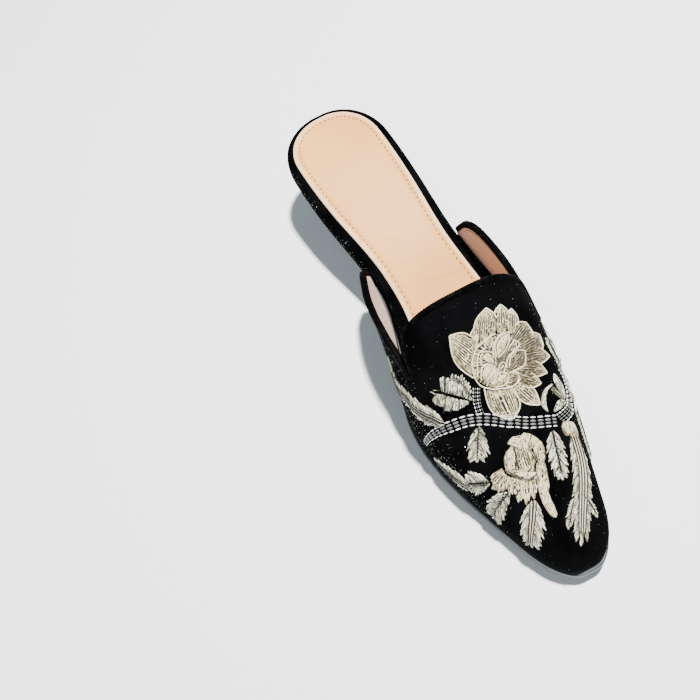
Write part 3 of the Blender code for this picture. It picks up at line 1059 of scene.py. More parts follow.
@dataclass
class Workshop:
    """Turns shapes into finished pieces of the shoe."""

    pieces: list[bpy.types.Object] = field(default_factory=list)

    def piece(self, name: str, shape: Shape, material: Material, slot: str | None = None,
              replaces: Sequence[str] = (), sharp: float = 40.0) -> bpy.types.Object:
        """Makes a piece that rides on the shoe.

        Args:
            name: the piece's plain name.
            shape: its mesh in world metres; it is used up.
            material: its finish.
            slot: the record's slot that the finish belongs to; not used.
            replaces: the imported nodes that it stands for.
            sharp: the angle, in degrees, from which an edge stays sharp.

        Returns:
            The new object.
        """
        mesh = mesh_of(name, shape)
        mesh.shade_smooth()
        mesh.set_sharp_from_angle(angle=math.radians(sharp))
        mesh.materials.append(material)
        made = placed(name, mesh)
        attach(made, "root")
        if replaces:
            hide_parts(*replaces)
        self.pieces.append(made)
        LOG.info("%s: %d faces", name, len(mesh.polygons))
        return made


def solidify(piece: bpy.types.Object, wall_mm: float) -> None:
    """Gives an open skin a wall on its inner side."""
    wall = piece.modifiers.new("wall", "SOLIDIFY")
    wall.thickness = wall_mm * MM
    wall.offset = -1.0


# ---------------- plates


@dataclass(frozen=True)
class Ring:
    """One line round a plate: its inset, its share of the way to the spine, its height, and the number that
    the finish reads there (the sock's painted edge highlight, the footbed's glitter).
    """

    inset: float
    to_spine: float
    height: float
    edge: float = 0.0


@dataclass
class Plate:
    """A flat piece with a worked edge, closed along its middle line above and below."""

    last: Last
    outline: Outline
    base: Callable[[Array], Array]
    thick: Callable[[Array], Array]
    rings: Sequence[Ring]
    around: int
    relief: Callable[[Array], Array] | None = None
    # the name of the number that the rings carry; as edge it is the painted highlight that SoftLeather
    # mixes in
    number: str = "edge"
    top_from: float = 0.5

    def shape(self) -> Shape:
        """The plate as a closed shape; a ring's height is a share of the thickness."""
        inset, spine, height, edge = (
            np.array([getattr(ring, name) for ring in self.rings])
            for name in ("inset", "to_spine", "height", "edge"))

        def ring(t: Array) -> Array:
            """The ring that each point lies on."""
            return np.round(t * (len(self.rings) - 1)).astype(int)

        def place(s: Array, t: Array) -> Array:
            """World points round the plate's rings."""
            k = ring(t)
            plan = self.outline.at(s, inset[k], spine[k])
            along = plan[:, 1]
            up = self.base(along) + self.thick(along) * height[k]
            if self.relief:
                up = up + np.where(height[k] > self.top_from, self.relief(plan), 0)
            return self.last.world(np.stack([plan[:, 0], along, up], axis=1))

        drawn = Drawn(numbers={self.number: lambda _, t: edge[ring(t)]})
        shape = skin(self.around, len(self.rings) - 1, place, drawn)
        close_round(shape)
        return shape


def profile(lines: Sequence[tuple[float, ...]], below: int = 4, above: int = 4) -> list[Ring]:
    """A plate's rings: from its middle line out below, round the edge, and back above.

    Args:
        lines: the inset and the height of each line round the edge, and its number if it has one.
        below: how many rings lie between the first line and the middle line.
        above: the same for the last line.

    Returns:
        The rings in order.
    """
    edge = [Ring(line[0], 0, line[1], *line[2:]) for line in lines]
    under, over = (
        [Ring(line.inset, (i + 1) / count, line.height) for i in range(count)]
        for line, count in ((edge[0], below), (edge[-1], above)))
    return [*under[::-1], *edge, *over]


@dataclass
class Outsole:
    """The thin sole, flat under the ball, with a worked edge."""

    last: Last
    back: float = 46.0
    out: Line = Line((0, 95, 145, 250), (-2.0, -1.2, 2.2, 2.2), steady=True)
    spine_inset: float = 18.0
    edge_lines: EdgeLines = (
        (0.7, 0.0), (0.21, 0.07), (0, 0.25), (0, 0.72), (0.21, 0.93), (0.7, 1.0))

    def edges(self, along: Array) -> Edges:
        """The sole's medial and lateral edge."""
        return self.last.plan(along, self.out(along), self.out.values[-1])

    def build(self, shop: Workshop) -> None:
        """Makes the sole."""
        end = self.last.length + self.out.values[-1] - self.last.tip
        plate = Plate(
            self.last, Outline(self.edges, self.back, end, self.spine_inset),
            lambda along: self.last.read("tread", along),
            lambda along: self.last.read("sole", along), profile(self.edge_lines), 420)
        shop.piece("outsole_edge_and_tread", plate.shape(), Rubber().material(),
                   "charcoal_sole", ("outsole",))


@dataclass
class Footbed:
    """The board, wrapped in velvet; its rim is the black band round the open back.

    At band_end the board draws in, over a short ease, by its clearance from the upper's outside.
    """

    last: Last
    band_end: float = 90.7
    ease_before: float = 0.4
    ease_over: float = 0.6
    clearance: float = 3.2
    swell: float = 1.8
    toe_in: float = 0.6
    end_in: float = 0.8
    spine_inset: float = 22.0
    edge_lines: EdgeLines = (
        (1.0, 0.0), (0.3, 0.03, 0.7), (-0.10, 0.16, 0.8), (-0.15, 0.42, 0.8), (-0.05, 0.66, 0.7),
        (0.25, 0.82, 0.5), (0.8, 0.93, 0.3), (1.4, 0.985, 0.2), (2.0, 1.0))

    def edges(self, along: Array) -> Edges:
        """The board's edges: full width behind, inside the upper in front."""
        share = smooth_step((along - self.band_end + self.ease_before) / self.ease_over)
        return self.last.plan(
            along, -share * (self.clearance - self.swell), -self.clearance - self.toe_in)

    def loop(self, along: Array) -> Edges:
        """The edges, with the heel's end at its own full size.

        Args:
            along: distances along the shoe.

        Returns:
            The medial and the lateral edge, as x.
        """
        medial, lateral = self.edges(along)
        back_medial, back_lateral = self.last.plan(along)
        behind = along < self.band_end - 1
        return np.where(behind, back_medial, medial), np.where(behind, back_lateral, lateral)

    def build(self, shop: Workshop, velvet: Material) -> None:
        """Makes the board.

        Args:
            shop: the workshop.
            velvet: the wrap's finish.
        """
        end = self.last.length - self.clearance - self.end_in
        outline = Outline(self.loop, self.last.tip, end, self.spine_inset)
        plate = Plate(
            self.last, outline, self.last.board_base,
            lambda along: self.last.read("footbed", along) - self.last.board_base(along),
            profile(self.edge_lines), 420, number="sparkle")
        shop.piece("footbed_velvet_wrap", plate.shape(), velvet, "black_velvet", ("footbed",))


@dataclass
class Sock:
    """The padded leather sheet on the footbed, stitched round its edge."""

    last: Last
    toe: float = 241.0
    thick: float = 1.3
    medial_in: Line = Line((0, 60, 95, 118, 145, 250), (3.5, 4.6, 6.0, 8.2, 9.6, 5.0), steady=True)
    lateral_in: Line = Line((0, 60, 95, 118, 145, 250), (4.1, 4.4, 5.3, 6.0, 6.2, 5.0), steady=True)
    spine_inset: float = 20.0
    # the third number on an edge line is the painted highlight on the sheet's rounded edge
    edge_lines: EdgeLines = (
        (0.2, 0.0, 1), (0, 0.12, 1), (-0.05, 0.42, 1), (0.05, 0.66, 1), (0.3, 0.86, 1),
        (0.7, 0.97, 0.75), (1.2, 1.0, 0.45), (1.7, 1.0, 0.3))
    groove_lines: tuple[tuple[float, float], ...] = (
        (-0.9, 0.93), (-0.4, 0.80), (0, 0.72), (0.4, 0.80), (0.9, 0.95), (1.8, 1.02), (3.0, 1.04))
    stitch_in: float = 3.1
    stitch_pitch: float = 2.6
    stitch_length: float = 1.4
    stitch_width: float = 0.5
    stitch_height: float = 0.3
    stitch_rise: float = 0.84
    stitch_up: tuple[float, float, float] = (0.0, 0.25, 1.0)
    creases: tuple[Crease, ...] = (
        Crease(6, 70, 15, 10, 1.6, 0.16),
        Crease(1, 78, -20, 8, 1.3, 0.12),
        Crease(-8, 66, 30, 9, 1.5, 0.12),
        Crease(4, 92, 5, 12, 1.8, 0.14),
        Crease(-12, 104, -12, 10, 1.6, 0.12),
        Crease(8, 112, 20, 9, 1.5, 0.10),
        Crease(-2, 36, 65, 12, 2.2, 0.08),
    )
    crease_rise: float = 0.6
    crease_step: float = 1.6

    @property
    def heel_in(self) -> float:
        """How far the sock stays inside the footbed's back."""
        return (self.medial_in.values[0] + self.lateral_in.values[0]) / 2

    def edges(self, along: Array) -> Edges:
        """The sock's edges.

        Args:
            along: distances along the shoe.

        Returns:
            The medial and the lateral edge, as x.
        """
        share = self.last.heel_end.share(along - self.heel_in, -self.heel_in)
        share = share * self.last.toe_end.share(self.toe - along, -self.heel_in)
        return ((self.last.read("medial", along) - self.medial_in(along)) * share,
                -(self.last.read("lateral", along) - self.lateral_in(along)) * share)

    def relief(self, plan: Array) -> Array:
        """Height of the creases, each with a dip beside it.

        Args:
            plan: plan points (x, along), one row each.

        Returns:
            The rise at each point.
        """
        total = np.zeros(len(plan))
        for crease in self.creases:
            beside, depth = crease.lies(plan[:, 0], plan[:, 1])
            dip = self.crease_rise * np.exp(-((beside - self.crease_step) / crease.width) ** 2)
            total += depth * (np.exp(-(beside / crease.width) ** 2) - dip)
        return total

    def stitches(self, outline: Outline) -> Shape:
        """The stitches in the groove beside the edge.

        Args:
            outline: the sheet's outline.

        Returns:
            The stitches in world metres.
        """
        count = int(outline.length / self.stitch_pitch)
        middle = (np.arange(count) + 0.5) / count
        half = self.stitch_length / 2 / outline.length
        ends = []
        for share in (middle - half, middle + half):
            plan = outline.at(share, self.stitch_in)
            seat = self.last.read("footbed", plan[:, 1]) + self.last.gap
            ends.append(np.column_stack([plan, seat + self.stitch_rise * self.thick]))
        ups = unit(np.tile(self.stitch_up, (count, 1)))
        return Stitches(self.last, self.stitch_width, self.stitch_height).shape(*ends, ups)

    def build(self, shop: Workshop) -> None:
        """Makes the sheet and its stitches."""
        outline = Outline(self.edges, self.heel_in + self.last.tip, self.toe - self.last.tip,
                          self.spine_inset)
        groove = [(self.stitch_in + step, height) for step, height in self.groove_lines]
        plate = Plate(
            self.last, outline, lambda along: self.last.read("footbed", along) + self.last.gap,
            lambda along: np.full_like(along, self.thick),
            profile([*self.edge_lines, *groove], above=9), 520, self.relief)
        # the last colour is the painted highlight on the sheet's rounded edge
        leather = SoftLeather("sock_leather", (0.82, 0.395, 0.105), (0.72, 0.315, 0.08), (0.90, 0.62, 0.40))
        shop.piece("sock_sheet", plate.shape(), leather.material(), "pink_sock_leather", ("sock",),
                   sharp=60.0)
        thread = Twist("taupe_thread", (0.15, 0.085, 0.055), (0.09, 0.05, 0.03))
        shop.piece("sock_edge_stitches", self.stitches(outline), thread.material(),
                   "pink_sock_leather")


@dataclass
class Stitches:
    """Short raised stitches, each a small rounded bar."""

    last: Last
    width: float
    height: float
    sides: int = 8
    rounds: int = 5

    def shape(self, starts: Array, ends: Array, normals: Array, widths: Array | None = None) -> Shape:
        """All the stitches in one shape.

        Args:
            starts: where each stitch begins, in shoe millimetres.
            ends: where it ends.
            normals: which way is up for it.
            widths: a width for each; the usual one where left out.

        Returns:
            The stitches in world metres.
        """
        shape = bmesh.new()
        if widths is None:
            widths = np.full(len(starts), self.width)
        for start, end, up, width in zip(starts, ends, normals, widths):
            run = end - start
            length = float(np.linalg.norm(run))
            axis = Vector(run / max(length, 1e-6))
            side = Vector(up).cross(axis).normalized()
            lift = axis.cross(side)
            centre = Vector(self.last.world((start + end)[None] / 2)[0])
            turn = Matrix((axis, side, lift)).transposed().to_4x4()
            size = Matrix.Diagonal((length * MM, width * MM, self.height * MM * 2, 1.0))
            bmesh.ops.create_uvsphere(
                shape, u_segments=self.sides, v_segments=self.rounds, radius=0.5,
                matrix=Matrix.Translation(centre) @ turn @ size @ Matrix.Rotation(math.pi / 2, 4, "Y"))
        return shape


# ---------------- upper


@dataclass
class Upper:
    """The velvet wall, its lining, and the seam below the lining's edge."""

    form: UpperForm
    topline: Topline
    under_binding: float = 1.2
    velvet_wall: float = 1.2
    lining_in: float = 1.35
    lining_wall: float = 0.6
    tuck: float = 0.8
    end_gap: float = 0.04
    sparkle_top: float = 0.06
    sparkle_wall: float = 0.85
    sparkle_low: tuple[float, float] = (0.86, 0.55)
    sparkle_to: float = 236.0
    sparkle_fade: float = 60.0
    seam_in: float = 4.2
    seam_radius: float = 0.25
    seam_end: float = 0.01

    def _wall(self, columns: int, rows: int, lift: float, skirt: bool) -> Shape:
        """A wall from the topline to the toe.

        Args:
            columns: faces along the topline.
            rows: faces from the topline to the toe.
            lift: distance off the upper's outside.
            skirt: whether it goes on down to the sole.

        Returns:
            The wall as an open skin.
        """
        edge = self.topline.off(np.linspace(0, 1, columns + 1), self.under_binding, 0.0)
        turns = np.concatenate([[0.0], self.form.turn_at(edge), [math.pi]])
        starts = np.concatenate([edge[:1, 1], edge[:, 1], edge[-1:, 1]])
        if skirt:
            turns = np.concatenate([[0.0], turns, [math.pi]])
            starts = np.concatenate([starts[:1], starts, starts[-1:]])
        last, end = self.form.last, self.form.last.length - self.end_gap

        def stand(s: Array, t: Array) -> tuple[Array, Array]:
            """Which line from the topline a point is on, and how far along the shoe it is."""
            k = np.round(s * (len(turns) - 1)).astype(int)
            return k, starts[k] + (end - starts[k]) * np.sin(t * math.pi / 2)

        def place(s: Array, t: Array) -> Array:
            """World points of the wall."""
            k, along = stand(s, t)
            points = self.form.at_turn(along, turns[k], lift)
            if skirt:
                middle, half, _ = self.form.frame(along)
                side = np.where(k == 0, 1.0, -1.0)
                reach = half - self.tuck - self.form.under(along, side, np.zeros_like(along))
                low = np.stack([middle + side * reach, along, last.board_base(along)], axis=1)
                points = np.where(((k == 0) | (k == len(turns) - 1))[:, None], low, points)
            return last.world(points)

        def sparkle(s: Array, t: Array) -> Array:
            """How thick the glitter is: thickest low on the side walls, gone at the toe."""
            k, along = stand(s, t)
            low = smooth_step((self.sparkle_low[0] - np.sin(turns[k])) / self.sparkle_low[1])
            low = low * smooth_step((self.sparkle_to - along) / self.sparkle_fade)
            return self.sparkle_top + self.sparkle_wall * low

        shape = skin(len(turns) - 1, rows, place, Drawn(numbers={"sparkle": sparkle}))
        foremost = last.world(np.array([[0, end - 0.01, 0]]))[0][1]
        tip = [edge for edge in shape.edges
               if edge.is_boundary and all(vert.co.y > foremost for vert in edge.verts)]
        bmesh.ops.contextual_create(shape, geom=tip)
        face_out(shape)
        return shape

    def seam(self, s: Array, t: Array) -> Array:
        """The raised seam that runs inside the topline.

        Args:
            s: shares of the way round the seam.
            t: shares of the way along it.

        Returns:
            World points.
        """
        inward = self.seam_in + self.seam_radius * np.cos(s * TURN)
        out = self.seam_radius * np.sin(s * TURN) - self.lining_in - self.lining_wall
        share = self.seam_end + (1 - 2 * self.seam_end) * t
        return self.form.last.world(self.topline.off(share, inward, out))

    def build(self, shop: Workshop, velvet: Material) -> None:
        """Makes the wall, the lining and the lining's seam.

        Args:
            shop: the workshop.
            velvet: the wall's finish.
        """
        wall = shop.piece("upper_velvet", self._wall(220, 110, 0.0, True), velvet,
                          "black_velvet", ("upper",), sharp=60.0)
        solidify(wall, self.velvet_wall)
        leather = SoftLeather("lining_leather", (0.59, 0.455, 0.41), (0.52, 0.39, 0.35), (0.8, 0.6, 0.5))
        lining = shop.piece("upper_lining", self._wall(150, 60, -self.lining_in, False),
                            leather.material(), "pink_sock_leather", sharp=60.0)
        solidify(lining, self.lining_wall)
        seam = skin(8, 420, self.seam)
        close_round(seam)
        thread = Twist("lining_thread", (0.30, 0.16, 0.12), (0.20, 0.10, 0.08))
        shop.piece("lining_seam", seam, thread.material(), "pink_sock_leather")


@dataclass
class Binding:
    """The gathered tape folded over the whole topline.

    gather_drift holds the distances over which its gathers shift, jostle and deepen.
    """

    form: UpperForm
    topline: Topline
    width: float = 2.8
    proud: float = 0.6
    thick: float = 3.2
    gather_pitch: float = 1.15
    gather_depth: float = 0.16
    gather_drift: tuple[float, float, float] = (7.0, 2.3, 4.1)
    squareness: float = 2.8
    step: float = 0.36

    def swell(self, walked: Array) -> Array:
        """How far the tape stands out at its gathers, which are never quite alike.

        Args:
            walked: distances along the topline.

        Returns:
            The rise at each.
        """
        slow, quick, deep = (np.sin(walked / wave) for wave in self.gather_drift)
        rib = np.sin(TURN * walked / self.gather_pitch + 1.5 * slow + quick)
        return self.gather_depth * rib * (0.7 + 0.3 * deep)

    def build(self, shop: Workshop) -> None:
        """Makes the tape."""
        length = self.topline.spacing * (len(self.topline.path) - 1)

        def squared(value: Array) -> Array:
            """A wave with fuller corners."""
            return np.sign(value) * np.abs(value) ** (2 / self.squareness)

        def place(s: Array, t: Array) -> Array:
            """World points round the tape."""
            swell = self.swell(t * length)
            inward = self.width / 2 + (self.width / 2 + swell) * squared(np.cos(s * TURN))
            out = self.proud - self.thick / 2 + (self.thick / 2 + swell) * squared(np.sin(s * TURN))
            return self.form.last.world(self.topline.off(t, inward, out))

        shape = skin(14, int(length / self.step), place)
        close_round(shape)
        shop.piece("topline_binding_tape", shape, Tape().material(), "black_binding",
                   ("topline_binding",), sharp=70.0)


# ---------------- embroidery

Chart = tuple[float, float]


def fair(places: Sequence[Chart] | Array, shares: Array) -> Array:
    """Points on a fair line through a few places.

    Args:
        places: the places it goes through, in order.
        shares: where on the line to read, from 0 to 1.

    Returns:
        One row for each share.
    """
    knots = np.array(places, float)
    walked = distances(knots)
    at = np.asarray(shares) * walked[-1]
    return np.stack([Line(tuple(walked), tuple(column))(at) for column in knots.T], axis=1)


class Axis:
    """A fair line on the chart, with true distances along it and beside it."""

    def __init__(self, form: UpperForm, places: Sequence[Chart], steps: int = 60) -> None:
        """Walks the line once.

        Args:
            form: the surface that the chart lies on.
            places: the chart places that the line goes through.
            steps: how finely it is walked.
        """
        middle = np.array(places, float).mean(axis=0)
        self.scale = np.array([form.stretch(float(middle[0]), float(middle[1])), 1.0])
        self.path = fair(np.array(places, float) * self.scale, np.linspace(0, 1, steps + 1))
        self.walked = distances(self.path)
        self.run = unit(np.gradient(self.path, axis=0))
        self.length = float(self.walked[-1])

    def at(self, ahead: Array | float, beside: Array | float) -> Array:
        """Chart places by the line.

        Args:
            ahead: distances along it.
            beside: distances to its left.

        Returns:
            Chart places, one row each.
        """
        ahead = np.atleast_1d(np.asarray(ahead, float))
        spot, run = (read_rows(ahead, self.walked, rows) for rows in (self.path, self.run))
        side = np.stack([-run[:, 1], run[:, 0]], axis=1)
        beyond = ahead - np.clip(ahead, 0, self.length)
        local = spot + run * beyond[:, None] + side * np.expand_dims(beside, -1)
        return local / self.scale


@dataclass(frozen=True, kw_only=True)
class Laid:
    """A shape of laid thread on the upper's chart, and how it is worked.

    height, lift and inset are millimetres; tone and open run from the base to the tip, where
    tone 1 is the pale silk and open is how much of the ground shows between the threads; cord is
    the radius of the cord laid round it, cord_from is where that starts on the left and the right
    side, and inset is how far the fill stays inside it.
    """

    height: float = 0.55
    lift: float = 0.0
    tone: tuple[float, ...] = (0.6, 1.0)
    open: tuple[float, ...] = (0.0, 0.0)
    cord: float = 0.0
    cord_from: tuple[float, float] = (0.02, 0.02)
    inset: float = 0.0

    def sides(self, form: UpperForm, t: Array) -> Edges:
        """Chart places of both edges at shares of the way from base to tip."""
        raise NotImplementedError


@dataclass(frozen=True)
class Petal(Laid):
    """A shape between two side lines, each through a base, a shoulder and the shared tip."""

    left_base: Chart
    left: Chart
    tip: Chart
    right: Chart
    right_base: Chart

    def sides(self, form: UpperForm, t: Array) -> Edges:
        """Chart places of both edges at shares of the way from base to tip."""
        return (fair((self.left_base, self.left, self.tip), t),
                fair((self.right_base, self.right, self.tip), t))


@dataclass(frozen=True)
class Patch(Laid):
    """A block of satin between two side lines that both run with the threads."""

    left: tuple[Chart, ...]
    right: tuple[Chart, ...]

    def sides(self, form: UpperForm, t: Array) -> Edges:
        """Chart places of both edges at shares of the way from base to tip."""
        return fair(self.left, t), fair(self.right, t)


class Cut(Enum):
    """How a shape widens from its base and closes at its tip: two powers and a start."""

    LOBE = (0.60, 0.42, 0.35)
    BLADE = (0.50, 0.42, 0.16)
    STRAP = (0.30, 0.28, 0.20)
    FAN = (0.40, 0.18, 0.10)
    TAPER = (0.12, 0.60, 0.10)

    def body(self, t: Array) -> Array:
        """How wide the shape is.

        Args:
            t: shares of the way from base to tip.

        Returns:
            The share of the full width at each.
        """
        swell, close, start = self.value
        fine = np.linspace(0, 1, 100)
        peak = ((fine + start) ** swell * (1 - fine) ** close).max()
        return (t + start) ** swell * np.maximum(1 - t, 0) ** close / peak


@dataclass(frozen=True)
class Motif(Laid):
    """A shape of a given width round a line from its base to its tip."""

    axis: tuple[Chart, ...]
    width: float
    cut: Cut

    def sides(self, form: UpperForm, t: Array) -> Edges:
        """Chart places of both edges at shares of the way from base to tip."""
        line, half = Axis(form, self.axis), self.width / 2 * self.cut.body(t)
        return line.at(t * line.length, half), line.at(t * line.length, -half)


@dataclass(frozen=True)
class Fan:
    """Narrow blades side by side, from one base line to a ragged end line."""

    left: tuple[Chart, Chart]
    middle: tuple[Chart, Chart]
    right: tuple[Chart, Chart]
    blades: int
    width: float
    tone: tuple[float, float] = (0.6, 1.0)
    open: tuple[float, ...] = (0.1, 0.75, 0.3)
    lift: float = 0.0
    lift_step: float = 0.12
    ragged: float = 0.12

    def work(self) -> list[Laid]:
        """The blades, in the order that they are laid."""
        shares = (np.arange(self.blades) + 0.5) / self.blades
        bases, tips = (fair(ends, shares) for ends in zip(self.left, self.middle, self.right))
        laid: list[Laid] = []
        for i, (base, tip) in enumerate(zip(bases, tips)):
            reach = tip - (tip - base) * self.ragged * ((i * 7) % 3) / 2
            laid.append(Motif((tuple(base), tuple(reach)), self.width, Cut.BLADE, tone=self.tone,
                              open=self.open, lift=self.lift + self.lift_step * (i % 2)))
        return laid


@dataclass(frozen=True)
class Leaf:
    """A leaf worked as slim satin blades that spring from both sides of a midrib.

    Lengths are millimetres: width is the full width, split the black gap along the midrib, pitch
    the step from blade to blade, vein_apart the step between the cords over it. lean is a blade's
    angle from the midrib in degrees. The blades lengthen through each tooth by the share called
    depth, their tone sways by shade, and overlap is their width as a share of their step. Their
    roots run from root_first over root_run of the midrib, and no blade goes past furthest.
    """

    axis: tuple[Chart, ...]
    width: float
    teeth: int
    lean: float = 42.0
    depth: float = 0.34
    pitch: float = 1.25
    split: float = 0.35
    cut: Cut = Cut.LOBE
    veins: int = 0
    vein_apart: float = 1.35
    tone: tuple[float, float] = (0.60, 1.1)
    open: tuple[float, ...] = (0.6, 0.3, 0.15)
    shade: float = 0.22
    shade_turn: float = 2.4
    lift: float = 0.0
    lift_step: float = 0.06
    height: float = 0.5
    overlap: float = 1.55
    root_first: float = 0.01
    root_run: float = 0.89
    furthest: float = 0.98

    def blade(self, line: Axis, i: int, count: int) -> tuple[Chart, Chart]:
        """Both ends of one blade.

        Args:
            line: the leaf's midrib.
            i: the blade's number; odd ones are on the left.
            count: how many blades there are.

        Returns:
            The chart places of its root and its point.
        """
        side, share, lean = (1 if i % 2 else -1), i / count, math.radians(self.lean)
        root = (self.root_first + self.root_run * share) * line.length
        tooth = 1 - self.depth * (1 - (share * self.teeth) % 1.0)
        ahead, half = root, 0.0
        for _ in range(8):
            body = float(self.cut.body(np.array([ahead / line.length]))[0])
            half = self.width / 2 * body * tooth
            ahead = min(root + half / math.tan(lean), self.furthest * line.length)
        return tuple(line.at(root, side * self.split / 2)[0]), tuple(line.at(ahead, side * half)[0])

    def work(self, form: UpperForm) -> list[Laid]:
        """The leaf's blades.

        Args:
            form: the surface that the chart lies on.

        Returns:
            The blades from base to tip, the end blade last.
        """
        line = Axis(form, self.axis)
        count = 2 * max(int(0.9 * line.length / self.pitch), 4)
        wide = self.pitch * math.sin(math.radians(self.lean)) * self.overlap
        laid: list[Laid] = []
        for i in range(count):
            tone = tuple(tone + self.shade * math.sin(i * self.shade_turn) for tone in self.tone)
            laid.append(Motif(
                self.blade(line, i, count), wide, Cut.BLADE, height=self.height, open=self.open,
                tone=tone, lift=self.lift + self.lift_step * (i % 4)))
        end = tuple(tuple(line.at(share * line.length, 0.0)[0]) for share in (0.80, 1.0))
        laid.append(Motif(end, wide * 1.6, Cut.BLADE, tone=self.tone, lift=self.lift + 0.1,
                          height=self.height))
        return laid

    def vein_lines(self, form: UpperForm, veins: int) -> list[Array]:
        """The lengthwise cords over the leaf.

        Args:
            form: the surface that the chart lies on.
            veins: how many there are, side by side.

        Returns:
            Their chart paths.
        """
        line = Axis(form, self.axis)
        ahead = np.linspace(0.03, 0.88, 40) * line.length
        apart = self.vein_apart * (1 - 0.4 * ahead / line.length)
        return [line.at(ahead, (vein - (veins - 1) / 2) * apart) for vein in range(veins)]


@dataclass(frozen=True)
class Dash:
    """A short stitch of a row: its size, its spacing, and how rows step past each other."""

    pitch: float
    length: float
    width: float
    height: float = 0.38
    lift: float = 0.15
    slant: float = 0.0


